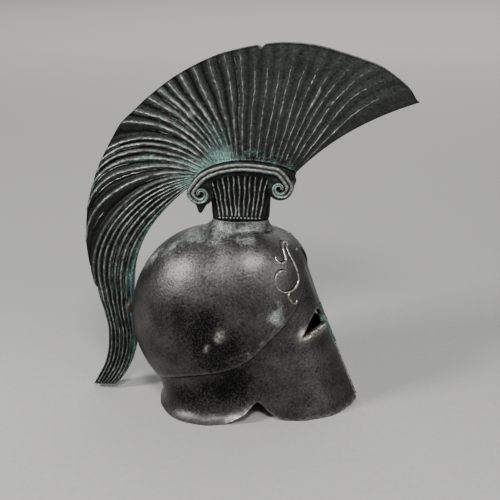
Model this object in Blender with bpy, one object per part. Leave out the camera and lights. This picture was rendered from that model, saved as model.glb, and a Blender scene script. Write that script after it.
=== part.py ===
# Corinthian helmet, a hollow cast bronze desk piece with a fan crest and a tail
# +X is the way the face looks, +Y the helmet's left side, +Z up, and the floor is z = 0
# Sizes are in millimetres and turn into metres where the meshes are made

import math
from collections import namedtuple

import bmesh
import bpy
from mathutils import Vector

metres_per_mm = 0.001
gap = 0.3                       # air left between neighbouring castings

# Bowl, measured outward from its own upright axis
bowl_axis_x = -11.8
bowl_front = 39.5
bowl_back = 36.5
bowl_side = 27.5
bowl_middle = 37.0              # height of its widest level
bowl_rise = 39.4                # from that level up to the skull
front_squareness = 2.0          # how much boxier the forehead is than an ellipse
plan_squareness = 0.15          # the same for the front of the plan
wall = 2.2
ledge_step = 0.8                # the bowl stands this far proud of the mask
flare_depth = 7.6               # how hollow the neck guard is drawn in above its rim
notch_rise = 8.2                # height of the notch between cheek and neck

# Boss under the crest
boss_x = -1.2
boss_half_length = 11.4
boss_half_width = 6.4
boss_top = 80.2
boss_foot_half_length = 18.6
boss_foot_half_width = 11.5
boss_foot_shift = 2.4           # its foot lies this much further back than its top
boss_waist_out = 0.35           # waist between top and foot, in shares of the way out and down
boss_waist_down = 0.62

# Face opening
slit_half_width = 1.6
slit_depth = 0.55               # in shares of the bowl's front reach
eye_top = 44.2
eye_drop = 12.4
eye_lean = 35.0                 # degrees that the eye holes look outward
eye_reach = 6.6                 # how far the cut goes in and out of the mask
nose_length = 17.0
nose_thickness = 2.8
nose_proud = 0.45
nose_chamfer = 0.9
nose_flat = 0.3                 # flat middle of its front, in shares of its width

# Scroll raised on each side of the brow
scroll_wire = 1.0
scroll_sink = 0.08

# Crest holder: stem, yoke and two volutes
stem_top_half_thickness = 3.9
stem_foot_half_thickness = 5.2
stem_back = 11.0                # at the foot, measured back from the boss
stem_front = 11.6
stem_flare = 1.6                # how much each side widens on the way up
stem_height = 19.5
stem_waist = 0.3                # share of the height where it has its top thickness
stem_edge_pinch = 0.55          # how much its front and back edges are thinned
flutes = 11
flute_depth = 0.45
bead_proud = 0.5
bead_height = 0.1               # height of the bead row in shares of the stem
yoke_half_thickness = 4.6
yoke_depth = 5.6
yoke_x = 1.2
arch_back = 21.8
arch_front = 26.0
arch_spring = boss_top + 12.3   # height of the arch's springing line
arch_rise = 12.0
lobe_radius = 5.2
back_volute = (-17.5, -1.1)     # from the middle of the arch's springing line
front_volute = (14.2, 1.7)
sprue_length = 3.2
outer_arch_span = (38.0, 174.0)     # degrees on the arch, counted from its front
inner_arch_span = (138.0, 66.0)
front_lobe_span = (200.0, 375.0)    # degrees round the lobe

# Scroll bands on the yoke
band_width = 3.7
band_height = 1.5
band_end_width = 1.4
band_end_height = 1.2
band_arch_span = (56.0, 150.0)
band_taper = 1.6                # how fast it narrows into a volute
volute_radius = 3.9
volute_turn = 400.0
volute_ease = 1.25
volute_eye = 0.9
front_curl_start = 25.0         # degrees round the volute where the band runs in
back_curl_start = 165.0

# Crest plume
plume_reach = 68.3              # from the middle to the front tip
plume_rise = 57.5               # from the springing line to the top of the fan
tail_drop = 90.9                # from the springing line to the tip of the tail
locks = 35
waist_lock = 28                 # the locks after this one run on into the tail
root_half_thickness = 2.7
rim_half_thickness = 1.5
tail_half_thickness = 3.1
tip_thinning = 0.62             # the tail's tip in shares of its thickness
sheet_edge_pinch = 0.35         # how much the sheet's outermost edges are thinned
lock_relief = 0.75
root_relief = 0.45              # relief at the root and at the tail's tip, in shares
tip_relief = 0.5
lock_pull = 0.36                # handle length of a lock's curve in shares of its chord

RimRow = namedtuple("RimRow", "turn reach rise pull place")
# turn in degrees from the face, reach in shares of the bowl's reach that way, rise in shares
# of the notch, pull in shares of the flare, place is where along the drop the pull is
rim_rows = [
    RimRow(0, 1.498, 0.22, 0.10, 0.50),
    RimRow(4, 1.470, 0.16, 0.11, 0.50),
    RimRow(12, 1.398, 0.03, 0.13, 0.50),
    RimRow(18, 1.356, 0.00, 0.15, 0.50),
    RimRow(23, 1.285, 0.00, 0.16, 0.50),
    RimRow(28.5, 1.222, 0.00, 0.18, 0.50),
    RimRow(33, 1.140, 0.00, 0.20, 0.52),
    RimRow(37, 1.080, 0.08, 0.22, 0.55),
    RimRow(43, 0.985, 0.46, 0.22, 0.60),
    RimRow(46.5, 0.952, 0.84, 0.22, 0.64),
    RimRow(49.5, 0.925, 1.00, 0.24, 0.68),
    RimRow(53, 0.940, 0.89, 0.36, 0.72),
    RimRow(64, 1.030, 0.48, 0.70, 0.80),
    RimRow(79, 1.025, 0.07, 0.94, 0.84),
    RimRow(93, 1.055, 0.00, 1.00, 0.85),
    RimRow(109, 1.038, 0.00, 0.95, 0.85),
    RimRow(123, 0.982, 0.00, 0.78, 0.84),
    RimRow(144, 0.843, 0.00, 0.55, 0.82),
    RimRow(168, 0.729, 0.00, 0.36, 0.80),
    RimRow(180, 0.712, 0.00, 0.33, 0.80),
]

RidgeRow = namedtuple("RidgeRow", "turn height")
# height of the edge between bowl and mask, in shares of the skull's height
ridge_rows = [
    RidgeRow(0, 0.895),
    RidgeRow(6, 0.840),
    RidgeRow(13, 0.745),
    RidgeRow(19, 0.660),
    RidgeRow(24, 0.607),
    RidgeRow(33, 0.536),
    RidgeRow(44, 0.463),
    RidgeRow(54, 0.392),
    RidgeRow(64, 0.345),
    RidgeRow(76, 0.310),
    RidgeRow(88, 0.288),
    RidgeRow(100, 0.274),
    RidgeRow(116, 0.250),
    RidgeRow(134, 0.213),
    RidgeRow(155, 0.166),
    RidgeRow(180, 0.137),
]

EyeRow = namedtuple("EyeRow", "turn down")
# the eye's outline from its inner top round its outer corner, in degrees from the face and in
# shares of its drop
eye_rows = [
    EyeRow(1.5, 0.00),
    EyeRow(7.5, 0.06),
    EyeRow(11.8, 0.18),
    EyeRow(15.8, 0.36),
    EyeRow(19.0, 0.57),
    EyeRow(22.0, 0.78),
    EyeRow(19.2, 0.78),
    EyeRow(16.0, 0.73),
    EyeRow(11.2, 0.69),
    EyeRow(5.8, 0.68),
    EyeRow(1.5, 0.66),
]

ScrollRow = namedtuple("ScrollRow", "turn height")
# the stroke from the short hook over the hairpin and down the long S into its spiral
scroll_rows = [
    ScrollRow(29.1, 0.902),
    ScrollRow(29.6, 0.881),
    ScrollRow(27.2, 0.868),
    ScrollRow(23.6, 0.874),
    ScrollRow(21.6, 0.898),
    ScrollRow(18.8, 0.930),
    ScrollRow(13.6, 0.946),
    ScrollRow(11.6, 0.940),
    ScrollRow(15.4, 0.926),
    ScrollRow(17.9, 0.898),
    ScrollRow(18.4, 0.850),
    ScrollRow(18.1, 0.805),
    ScrollRow(18.9, 0.762),
    ScrollRow(22.4, 0.731),
    ScrollRow(27.5, 0.718),
    ScrollRow(32.5, 0.732),
    ScrollRow(35.3, 0.768),
    ScrollRow(34.2, 0.808),
    ScrollRow(30.6, 0.832),
    ScrollRow(26.4, 0.829),
]

LobeRow = namedtuple("LobeRow", "angle sprue")
# the back lobe in degrees round its volute, with its sprue stub in shares of sprue_length
lobe_rows = [
    LobeRow(185, 0.00),
    LobeRow(207, 0.00),
    LobeRow(229, 0.00),
    LobeRow(248, 0.45),
    LobeRow(266, 1.00),
    LobeRow(281, 0.45),
    LobeRow(300, 0.00),
    LobeRow(322, 0.00),
    LobeRow(344, 0.00),
]

FilletRow = namedtuple("FilletRow", "across rise")
# section of a scroll band, in shares of its half width and of its height
fillet_rows = [
    FilletRow(-1.00, 0.00),
    FilletRow(-0.95, 0.60),
    FilletRow(-0.50, 1.00),
    FilletRow(0.00, 0.45),
    FilletRow(0.50, 1.00),
    FilletRow(0.95, 0.60),
    FilletRow(1.00, 0.00),
]

LockRow = namedtuple("LockRow", "lock root across up leave arrive half relief")
# one row for each lock that sets the fan: where its edge leaves the arch (degrees on the
# arch), where it ends (shares of plume_reach and plume_rise), its heading at both ends, its
# half thickness at the end (share of rim_half_thickness) and its relief (share of lock_relief)
lock_rows = [
    LockRow(0, 38.0, 1.000, 0.612, 45, 18, 1.00, 0.45),
    LockRow(1, 40.0, 0.950, 0.692, 44, 5, 1.00, 0.45),
    LockRow(2, 43.0, 0.866, 0.780, 49, 10, 1.00, 0.45),
    LockRow(3, 46.5, 0.779, 0.848, 56, 22, 1.00, 0.45),
    LockRow(4, 50.5, 0.678, 0.894, 61, 35, 1.00, 0.45),
    LockRow(5, 54.5, 0.580, 0.932, 65, 52, 1.00, 0.45),
    LockRow(6, 58.5, 0.489, 0.965, 69, 64, 1.00, 0.45),
    LockRow(7, 62.5, 0.411, 0.985, 72, 70, 1.00, 0.45),
    LockRow(8, 68.0, 0.322, 0.997, 76, 77, 1.00, 0.45),
    LockRow(9, 73.5, 0.244, 1.000, 80, 85, 1.00, 0.45),
    LockRow(10, 79.0, 0.163, 0.993, 84, 92, 1.00, 0.50),
    LockRow(13, 97.0, -0.086, 0.936, 95, 103, 1.00, 0.60),
    LockRow(16, 107.0, -0.350, 0.796, 104, 120, 1.00, 0.75),
    LockRow(19, 118.0, -0.538, 0.638, 112, 152, 1.05, 0.90),
    LockRow(20, 121.5, -0.624, 0.547, 118, 170, 1.10, 0.95),
    LockRow(21, 125.0, -0.702, 0.462, 124, 188, 1.15, 1.00),
    LockRow(22, 129.0, -0.805, 0.266, 130, 214, 1.20, 1.00),
    LockRow(23, 133.0, -0.843, 0.186, 137, 226, 1.25, 1.00),
    LockRow(25, 142.0, -0.912, -0.017, 153, 247, 1.35, 1.00),
    LockRow(26, 146.5, -0.946, -0.170, 161, 257, 1.45, 1.00),
    LockRow(27, 151.0, -0.967, -0.420, 169, 268, 1.65, 1.00),
    LockRow(28, 155.0, -0.930, -0.744, 178, 280, 1.85, 1.00),
    LockRow(31.5, 165.5, -0.818, -0.734, 199, 272, 2.07, 1.00),
    LockRow(35, 174.0, -0.694, -0.711, 220, 266, 2.07, 0.80),
]

TailRow = namedtuple("TailRow", "outer_across outer_down inner_across inner_down")
# both edges of the tail below its waist, in shares of plume_reach and tail_drop
tail_rows = [
    TailRow(-0.921, 0.482, -0.702, 0.505),
    TailRow(-0.912, 0.530, -0.704, 0.560),
    TailRow(-0.887, 0.607, -0.706, 0.620),
    TailRow(-0.870, 0.695, -0.700, 0.692),
    TailRow(-0.877, 0.775, -0.703, 0.762),
    TailRow(-0.905, 0.864, -0.728, 0.842),
    TailRow(-0.958, 0.942, -0.766, 0.910),
    TailRow(-1.000, 0.996, -0.850, 0.993),
]
SteppedRow = namedtuple("SteppedRow", ("step",) + TailRow._fields)
stepped_tail_rows = [SteppedRow(step, *row) for step, row in enumerate(tail_rows)]

# Mesh resolution
turns_from_face = [0, 3, 6, 9.5, 13, 17, 21, 25, 29, 33, 37, 40.5, 44, 46.8, 49.5, 52.5,
                   56, 61, 67, 74, 82, 90, 98, 107, 116, 126, 136, 147, 158, 169, 180]
bowl_rows = 10
mask_rows = 6
inner_bowl_rows = 7
inner_start_lift = 72.0         # degrees above the widest level where the inner crown starts
fan_rows = 9
tail_steps = 9
stem_rows = 7
volute_steps = 12
arch_steps = 14
inner_arch_steps = 6
band_arch_steps = 8
lobe_steps = 7
nose_stations = 7
wire_sides = 6
steps_between = 2               # steps of a smooth curve between two of its points


def blend(low, high, share):
    return low + (high - low) * share


def spaced(span, steps):
    return [blend(span[0], span[1], step / steps) for step in range(steps + 1)]


def read_row(rows, at, column):
    """Value of a column at a place in the first column, on a smooth curve without overshoot."""
    keys = [row[0] for row in rows]
    values = [getattr(row, column) for row in rows]
    if at <= keys[0]:
        return values[0]
    if at >= keys[-1]:
        return values[-1]
    index = max(i for i, key in enumerate(keys) if key <= at)
    slopes = [(values[i + 1] - values[i]) / (keys[i + 1] - keys[i]) for i in range(len(keys) - 1)]

    def tangent(i):
        if i == 0 or i == len(keys) - 1:
            return 0.0 if column != "across" else slopes[0 if i == 0 else -1]
        before, after = slopes[i - 1], slopes[i]
        if before * after <= 0.0:
            return 0.0
        return 2.0 * before * after / (before + after)

    width = keys[index + 1] - keys[index]
    t = (at - keys[index]) / width
    start, end = tangent(index) * width, tangent(index + 1) * width
    t2, t3 = t * t, t * t * t
    return ((2 * t3 - 3 * t2 + 1) * values[index] + (t3 - 2 * t2 + t) * start
            + (3 * t2 - 2 * t3) * values[index + 1] + (t3 - t2) * end)


def new_material(name, colour, roughness, metallic):
    material = bpy.data.materials.new(name)
    material.use_nodes = True
    shader = material.node_tree.nodes["Principled BSDF"]
    shader.inputs["Base Color"].default_value = (*colour, 1.0)
    shader.inputs["Roughness"].default_value = roughness
    shader.inputs["Metallic"].default_value = metallic
    return material


def new_object(name, bm, collection, material=None, sharp_angle=40.0):
    """Turn a bmesh in millimetres into an object in metres."""
    for vertex in bm.verts:
        vertex.co *= metres_per_mm
    mesh = bpy.data.meshes.new(name)
    bm.to_mesh(mesh)
    bm.free()
    mesh.shade_smooth()
    mesh.set_sharp_from_angle(angle=math.radians(sharp_angle))
    obj = bpy.data.objects.new(name, mesh)
    collection.objects.link(obj)
    if material:
        mesh.materials.append(material)
    return obj


def new_cutter(name, bm, collection):
    obj = new_object(name, bm, collection)
    obj.display_type = "WIRE"
    obj.hide_render = True
    return obj


def add_boolean(obj, other, operation):
    modifier = obj.modifiers.new(f"{operation.lower()} {other.name}", "BOOLEAN")
    modifier.operation = operation
    modifier.solver = "EXACT"
    modifier.object = other


def bowl_reach(turn):
    """Reach of the bowl's widest level from its axis."""
    angle = math.radians(turn)
    along, aside = math.cos(angle), math.sin(angle)
    reach_along = bowl_front if along > 0 else bowl_back
    power = 2.0 + plan_squareness * max(0.0, along)
    total = (abs(along) / reach_along) ** power + (abs(aside) / bowl_side) ** power
    return total ** (-1.0 / power)


def squareness(turn):
    return 2.0 + front_squareness * max(0.0, math.cos(math.radians(turn))) ** 2


def bowl_point(turn, lift):
    """Point of the bowl, turn degrees from the face and lift degrees above its middle."""
    angle, rise = math.radians(turn), math.radians(lift)
    power = 2.0 / squareness(turn)
    out = bowl_reach(turn) * math.cos(rise) ** power
    up = bowl_middle + bowl_rise * math.copysign(abs(math.sin(rise)) ** power, rise)
    return Vector((bowl_axis_x + out * math.cos(angle), out * math.sin(angle), up))


def lift_at_height(turn, height):
    share = (height - bowl_middle) / bowl_rise
    raised = abs(share) ** (squareness(turn) / 2.0)
    return math.degrees(math.copysign(math.asin(min(1.0, raised)), share))


def lift_at_boss_foot(turn):
    """Lift where a column of the bowl starts, on the oval foot of the boss."""
    angle = math.radians(turn)
    along, aside = math.cos(angle) / boss_foot_half_length, math.sin(angle) / boss_foot_half_width
    back = (bowl_axis_x - (boss_x - boss_foot_shift)) / boss_foot_half_length
    square, linear, rest = along ** 2 + aside ** 2, along * back, back ** 2 - 1.0
    out = (-linear + math.sqrt(linear ** 2 - square * rest)) / square
    share = out / bowl_reach(turn)
    return math.degrees(math.acos(share ** (squareness(turn) / 2.0)))


def ridge_lift(turn):
    height = read_row(ridge_rows, abs(turn), "height") * (bowl_middle + bowl_rise)
    return lift_at_height(turn, height)


def mask_point(turn, drop, step=ledge_step):
    """Point of the mask or neck guard, drop 0 at the ridge and 1 at the rim."""
    angle = math.radians(turn)
    outward = Vector((math.cos(angle), math.sin(angle), 0.0))
    side = abs(turn)
    start = bowl_point(turn, ridge_lift(turn)) - outward * step
    reach = read_row(rim_rows, side, "reach") * bowl_reach(turn)
    rise = read_row(rim_rows, side, "rise") * notch_rise
    end = Vector((bowl_axis_x, 0.0, rise)) + outward * reach
    bend = start.lerp(end, read_row(rim_rows, side, "place"))
    bend -= outward * read_row(rim_rows, side, "pull") * flare_depth
    return start * (1 - drop) ** 2 + bend * 2 * drop * (1 - drop) + end * drop ** 2


def inward(surface, turn, along, spread):
    """Unit vector into the wall, from the slope of a surface at one of its points."""
    across = surface(turn + 1.0, along) - surface(turn - 1.0, along)
    down = surface(turn, along + spread) - surface(turn, along - spread)
    normal = across.cross(down).normalized()
    angle = math.radians(turn)
    outward = Vector((math.cos(angle), math.sin(angle), 0.0))
    return normal if normal.dot(outward) < 0 else -normal


def outer_column(turn):
    angle = math.radians(turn)
    oval = Vector((boss_half_length * math.cos(angle), boss_half_width * math.sin(angle), 0.0))
    top = Vector((boss_x, 0.0, boss_top)) + oval
    foot_lift = lift_at_boss_foot(turn)
    foot = bowl_point(turn, foot_lift)
    waist = top.lerp(foot, boss_waist_out)
    waist.z = blend(top.z, foot.z, boss_waist_down)
    low_lift = ridge_lift(turn)
    column = [top, waist]
    for row in range(bowl_rows + 1):
        column.append(bowl_point(turn, blend(foot_lift, low_lift, row / bowl_rows)))
    for row in range(mask_rows + 1):
        column.append(mask_point(turn, row / mask_rows))
    return column


def inner_column(turn):
    column = []
    low_lift = ridge_lift(turn)
    for row in range(inner_bowl_rows + 1):
        lift = blend(inner_start_lift, low_lift, row / inner_bowl_rows)
        column.append(bowl_point(turn, lift) + inward(bowl_point, turn, lift, 1.0) * wall)
    for row in range(1, mask_rows + 1):
        drop = row / mask_rows
        into = inward(mask_point, turn, min(drop, 0.98), 0.02)
        into.z *= 1.0 - drop ** 2
        column.append(mask_point(turn, drop) + into.normalized() * wall)
    return column


def skin_columns(bm, columns):
    """Quads between neighbouring columns of a closed ring of columns."""
    made = [[bm.verts.new(point) for point in column] for column in columns]
    for index, column in enumerate(made):
        after = made[(index + 1) % len(made)]
        for row in range(len(column) - 1):
            bm.faces.new((column[row], after[row], after[row + 1], column[row + 1]))
    return made


def close_pole(bm, made, point):
    pole = bm.verts.new(point)
    for index, column in enumerate(made):
        bm.faces.new((pole, made[(index + 1) % len(made)][0], column[0]))


def shell_mesh():
    turns = turns_from_face + [-turn for turn in reversed(turns_from_face[1:-1])]
    bm = bmesh.new()
    outside = skin_columns(bm, [outer_column(turn) for turn in turns])
    inside = skin_columns(bm, [inner_column(turn) for turn in turns])
    close_pole(bm, outside, Vector((boss_x, 0.0, boss_top)))
    close_pole(bm, inside, Vector((bowl_axis_x, 0.0, bowl_middle + bowl_rise - wall)))
    for index, column in enumerate(outside):
        after = (index + 1) % len(outside)
        bm.faces.new((column[-1], outside[after][-1], inside[after][-1], inside[index][-1]))
    bmesh.ops.recalc_face_normals(bm, faces=bm.faces)
    return bm


def mask_at_height(turn, height):
    """Point of the mask at a height."""
    low, high = 0.0, 1.0
    for _ in range(30):
        middle = (low + high) / 2
        if mask_point(turn, middle).z > height:
            low = middle
        else:
            high = middle
    return mask_point(turn, low)


def slit_mesh():
    """The straight slit between the cheek guards, up to the root of the nose guard."""
    inside_x = bowl_axis_x + (1.0 - slit_depth) * bowl_front
    length, height = 2.0 * bowl_front, eye_top + wall
    bm = bmesh.new()
    bmesh.ops.create_cube(bm, size=1.0)
    for vertex in bm.verts:
        vertex.co.x = inside_x + length * (vertex.co.x + 0.5)
        vertex.co.y *= 2.0 * slit_half_width
        vertex.co.z = -wall + height * (vertex.co.z + 0.5)
    return bm


def eye_mesh(side):
    """One eye hole, its outline on the mask pushed in and out along the way it looks."""
    lean = math.radians(eye_lean)
    look = Vector((math.cos(lean), side * math.sin(lean), 0.0)) * eye_reach
    outline = [mask_at_height(side * row.turn, eye_top - row.down * eye_drop) for row in eye_rows]
    bm = bmesh.new()
    inner = [bm.verts.new(point - look) for point in outline]
    outer = [bm.verts.new(point + look) for point in outline]
    for index in range(len(outline)):
        onward = (index + 1) % len(outline)
        bm.faces.new((inner[index], inner[onward], outer[onward], outer[index]))
    bm.faces.new(inner)
    bm.faces.new(outer)
    bmesh.ops.triangulate(bm, faces=bm.faces)
    bmesh.ops.recalc_face_normals(bm, faces=bm.faces)
    return bm


def skin_rings(bm, rings):
    """Quads between closed rings of vertices, with a face over each end."""
    for ring, after in zip(rings, rings[1:]):
        for corner in range(len(ring)):
            onward = (corner + 1) % len(ring)
            bm.faces.new((ring[corner], ring[onward], after[onward], after[corner]))
    bm.faces.new(rings[0])
    bm.faces.new(rings[-1])
    bmesh.ops.recalc_face_normals(bm, faces=bm.faces)


def tube_mesh(points, normals, radius):
    """A round wire along points, closed at both ends."""
    bm = bmesh.new()
    rings = []
    for index, point in enumerate(points):
        ahead = points[min(index + 1, len(points) - 1)] - points[max(index - 1, 0)]
        side = ahead.cross(normals[index]).normalized()
        up = side.cross(ahead).normalized()
        ring = []
        for corner in range(wire_sides):
            angle = 2 * math.pi * (corner + 0.5) / wire_sides
            place = side * math.cos(angle) + up * math.sin(angle)
            ring.append(bm.verts.new(point + place * radius))
        rings.append(ring)
    skin_rings(bm, rings)
    return bm


def smooth_through(points):
    """Catmull-Rom curve through points."""
    curve = []
    last = len(points) - 1
    for index in range(last):
        before, start = points[max(index - 1, 0)], points[index]
        end, after = points[index + 1], points[min(index + 2, last)]
        for step in range(steps_between):
            t = step / steps_between
            curve.append(0.5 * (2 * start + (end - before) * t
                                + (2 * before - 5 * start + 4 * end - after) * t ** 2
                                + (3 * start - before - 3 * end + after) * t ** 3))
    curve.append(points[last])
    return curve


def scroll_mesh(side):
    """The raised brow scroll on one side, half sunk in the bowl."""
    skull = bowl_middle + bowl_rise
    places = [Vector((row.turn, lift_at_height(row.turn, row.height * skull), 0))
              for row in scroll_rows]
    points, normals = [], []
    for place in smooth_through(places):
        turn, lift = side * place.x, place.y
        normal = -inward(bowl_point, turn, lift, 1.0)
        points.append(bowl_point(turn, lift) - normal * scroll_sink)
        normals.append(normal)
    return tube_mesh(points, normals, scroll_wire / 2)


def nose_guard_mesh():
    """The strip down the middle of the face, square at its lower end."""
    half = slit_half_width - gap
    flat = nose_flat * half
    bm = bmesh.new()
    rings = []
    for index in range(nose_stations):
        height = eye_top - gap - nose_length * index / (nose_stations - 1)
        front = mask_at_height(0.0, height).x + nose_proud
        back, shoulder = front - nose_thickness, front - nose_chamfer
        section = [(back, -half), (shoulder, -half), (front, -flat), (front, flat),
                   (shoulder, half), (back, half)]
        rings.append([bm.verts.new((x, y, height)) for x, y in section])
    skin_rings(bm, rings)
    return bm


def arch_point(degrees, out=0.0):
    """Point of the yoke's arch, 0 degrees at its front, raised outward by out."""
    angle = math.radians(degrees)
    reach = arch_front if math.cos(angle) > 0 else arch_back
    normal = Vector((math.cos(angle) / reach, 0.0, math.sin(angle) / arch_rise)).normalized()
    point = Vector((yoke_x + reach * math.cos(angle), 0.0, arch_spring + arch_rise * math.sin(angle)))
    return point + normal * out


def volute_centre(offset):
    return Vector((yoke_x + offset[0], 0.0, arch_spring + offset[1]))


def round_point(centre, radius, degrees):
    angle = math.radians(degrees)
    return centre + Vector((radius * math.cos(angle), 0.0, radius * math.sin(angle)))


def yoke_outline():
    """Side outline of the yoke: arch, back lobe with its sprue stub, inner arch, front lobe."""
    back, front = volute_centre(back_volute), volute_centre(front_volute)
    outline = [arch_point(angle) for angle in spaced(outer_arch_span, arch_steps)]
    outline += [round_point(back, lobe_radius + row.sprue * sprue_length, row.angle)
                for row in lobe_rows]
    outline += [arch_point(angle, -yoke_depth)
                for angle in spaced(inner_arch_span, inner_arch_steps)]
    outline += [round_point(front, lobe_radius, angle)
                for angle in spaced(front_lobe_span, lobe_steps)]
    return outline


def yoke_mesh():
    bm = bmesh.new()
    near = [bm.verts.new(point - Vector((0, yoke_half_thickness, 0))) for point in yoke_outline()]
    face = bm.faces.new(near)
    pushed = bmesh.ops.extrude_face_region(bm, geom=[face])
    for item in pushed["geom"]:
        if isinstance(item, bmesh.types.BMVert):
            item.co.y = yoke_half_thickness
    bmesh.ops.recalc_face_normals(bm, faces=bm.faces)
    return bm


def close_to_middle(bm):
    """Wall the open border of a near half down to the middle plane, then mirror it."""
    border = [edge for edge in bm.edges if edge.is_boundary]
    walled = bmesh.ops.extrude_edge_only(bm, edges=border)
    for item in walled["geom"]:
        if isinstance(item, bmesh.types.BMVert):
            item.co.y = 0.0
    bmesh.ops.mirror(bm, geom=bm.verts[:] + bm.edges[:] + bm.faces[:], axis="Y", merge_dist=0.001)
    bmesh.ops.remove_doubles(bm, verts=bm.verts, dist=0.001)
    bmesh.ops.recalc_face_normals(bm, faces=bm.faces)


def skin_grid(bm, grid):
    """Quads over rows of vertices."""
    for row, after in zip(grid, grid[1:]):
        for column in range(len(row) - 1):
            bm.faces.new((row[column], row[column + 1], after[column + 1], after[column]))


def stem_mesh():
    """The fluted stem with a row of beads round its foot."""
    foot = boss_top + gap
    columns = 2 * flutes
    bm = bmesh.new()
    grid = []
    shares = [0.0, bead_height / 2, bead_height]
    shares += spaced((1.5 * bead_height, 1.0), stem_rows - 1)
    for index, share in enumerate(shares):
        spread = stem_flare * share
        waisted = min(1.0, share / stem_waist)
        half = blend(stem_foot_half_thickness, stem_top_half_thickness, waisted)
        row = []
        for column in range(columns + 1):
            across = column / columns
            x = blend(boss_x - stem_back - spread, boss_x + stem_front + spread, across)
            raised = column % 2 == 1
            relief = bead_proud if raised and index == 1 else flute_depth if raised else 0.0
            edge = stem_edge_pinch * half if column in (0, columns) else 0.0
            row.append(bm.verts.new((x, -(half + relief - edge), foot + stem_height * share)))
        grid.append(row)
    skin_grid(bm, grid)
    close_to_middle(bm)
    return bm


def volute_curl(offset, start_angle, sense):
    """Points of a volute from its outer turn into its eye, with how far each has curled."""
    curl = []
    for step in range(volute_steps + 1):
        share = step / volute_steps
        radius = volute_eye + (volute_radius - volute_eye) * (1 - share) ** volute_ease
        angle = start_angle + sense * volute_turn * share
        curl.append((round_point(volute_centre(offset), radius, angle), share))
    return curl


def band_path():
    """Middle line of the band, out of the front volute, over the arch and into the back one."""
    front = volute_curl(front_volute, front_curl_start, -1)
    back = volute_curl(back_volute, back_curl_start, 1)
    over = [(arch_point(angle, -band_width / 2), 0.0)
            for angle in spaced(band_arch_span, band_arch_steps)]
    knots = list(reversed(front)) + over + back
    middle = smooth_through([point for point, _ in knots])
    curls = smooth_through([Vector((curl, 0.0, 0.0)) for _, curl in knots])
    return [(point, min(1.0, max(0.0, curl.x))) for point, curl in zip(middle, curls)]


def band_mesh(side):
    """A strip of two fillets with a groove between them, lying on one face of the yoke."""
    base = yoke_half_thickness + gap
    path = band_path()
    bm = bmesh.new()
    rings = []
    for index, (point, curl) in enumerate(path):
        ahead = path[min(index + 1, len(path) - 1)][0] - path[max(index - 1, 0)][0]
        across = Vector((-ahead.z, 0.0, ahead.x)).normalized()
        half = blend(band_width, band_end_width, min(1.0, band_taper * curl)) / 2
        height = blend(band_height, band_end_height, curl)
        ring = []
        for row in fillet_rows:
            spot = point + across * (row.across * half)
            spot.y = side * (base + row.rise * height)
            ring.append(bm.verts.new(spot))
        rings.append(ring)
    skin_rings(bm, rings)
    return bm


def heading(degrees):
    return Vector((math.cos(math.radians(degrees)), 0.0, math.sin(math.radians(degrees))))


def lock_point(lock, along):
    """Point on the line of a lock, along 0 at the arch and 1 at the fan's edge."""
    root = arch_point(read_row(lock_rows, lock, "root"), gap)
    end = Vector((plume_reach * read_row(lock_rows, lock, "across"), 0.0,
                  arch_spring + plume_rise * read_row(lock_rows, lock, "up")))
    pull = lock_pull * (end - root).length
    leave = root + heading(read_row(lock_rows, lock, "leave")) * pull
    arrive = end - heading(read_row(lock_rows, lock, "arrive")) * pull
    rest = 1.0 - along
    return (root * rest ** 3 + leave * 3 * rest ** 2 * along
            + arrive * 3 * rest * along ** 2 + end * along ** 3)


def bowl_back_x(height):
    return bowl_point(180.0, lift_at_height(180.0, height)).x


def tail_point(share, step):
    """Point of the tail, share 0 on its outer edge and 1 on the inner, step counted in rows."""
    def edge(across, down):
        x = plume_reach * read_row(stepped_tail_rows, step, across)
        return Vector((x, 0.0, arch_spring - tail_drop * read_row(stepped_tail_rows, step, down)))

    outer = edge("outer_across", "outer_down")
    inner = edge("inner_across", "inner_down")
    if abs(inner.z - bowl_middle) < bowl_rise:
        inner.x = min(inner.x, bowl_back_x(inner.z) - gap)
    return outer.lerp(inner, share)


def lock_relief_at(lock):
    """Raised on the line of each lock and sunk half way between two."""
    return 0.5 * lock_relief * read_row(lock_rows, lock, "relief") * math.cos(2 * math.pi * lock)


def plume_mesh():
    """The fan and the tail as one ribbed sheet, thick at the root and thin at the rim."""
    bm = bmesh.new()
    half_locks = [index / 2 for index in range(2 * locks + 1)]
    grid = []
    for row in range(fan_rows + 1):
        along = row / fan_rows
        line = []
        for lock in half_locks:
            point = lock_point(lock, along)
            end_half = rim_half_thickness * read_row(lock_rows, lock, "half")
            half = blend(root_half_thickness, end_half, along)
            relief = lock_relief_at(lock) * blend(root_relief, 1.0, min(1.0, 2.5 * along))
            edge = sheet_edge_pinch * half if lock in (0, locks) else 0.0
            point.y = -(half + relief - edge)
            line.append(bm.verts.new(point))
        grid.append(line)
    skin_grid(bm, grid)
    first = half_locks.index(waist_lock)
    tail = [grid[-1][first:]]
    for row in range(1, tail_steps + 1):
        along = row / tail_steps
        line = []
        for lock in half_locks[first:]:
            share = (lock - waist_lock) / (locks - waist_lock)
            point = tail_point(share, along * (len(tail_rows) - 1))
            half = tail_half_thickness * blend(1.0, tip_thinning, along ** 3)
            edge = sheet_edge_pinch * half if lock in (waist_lock, locks) else 0.0
            point.y = -(half + lock_relief_at(lock) * blend(1.0, tip_relief, along) - edge)
            line.append(bm.verts.new(point))
        tail.append(line)
    skin_grid(bm, tail)
    close_to_middle(bm)
    return bm


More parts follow.
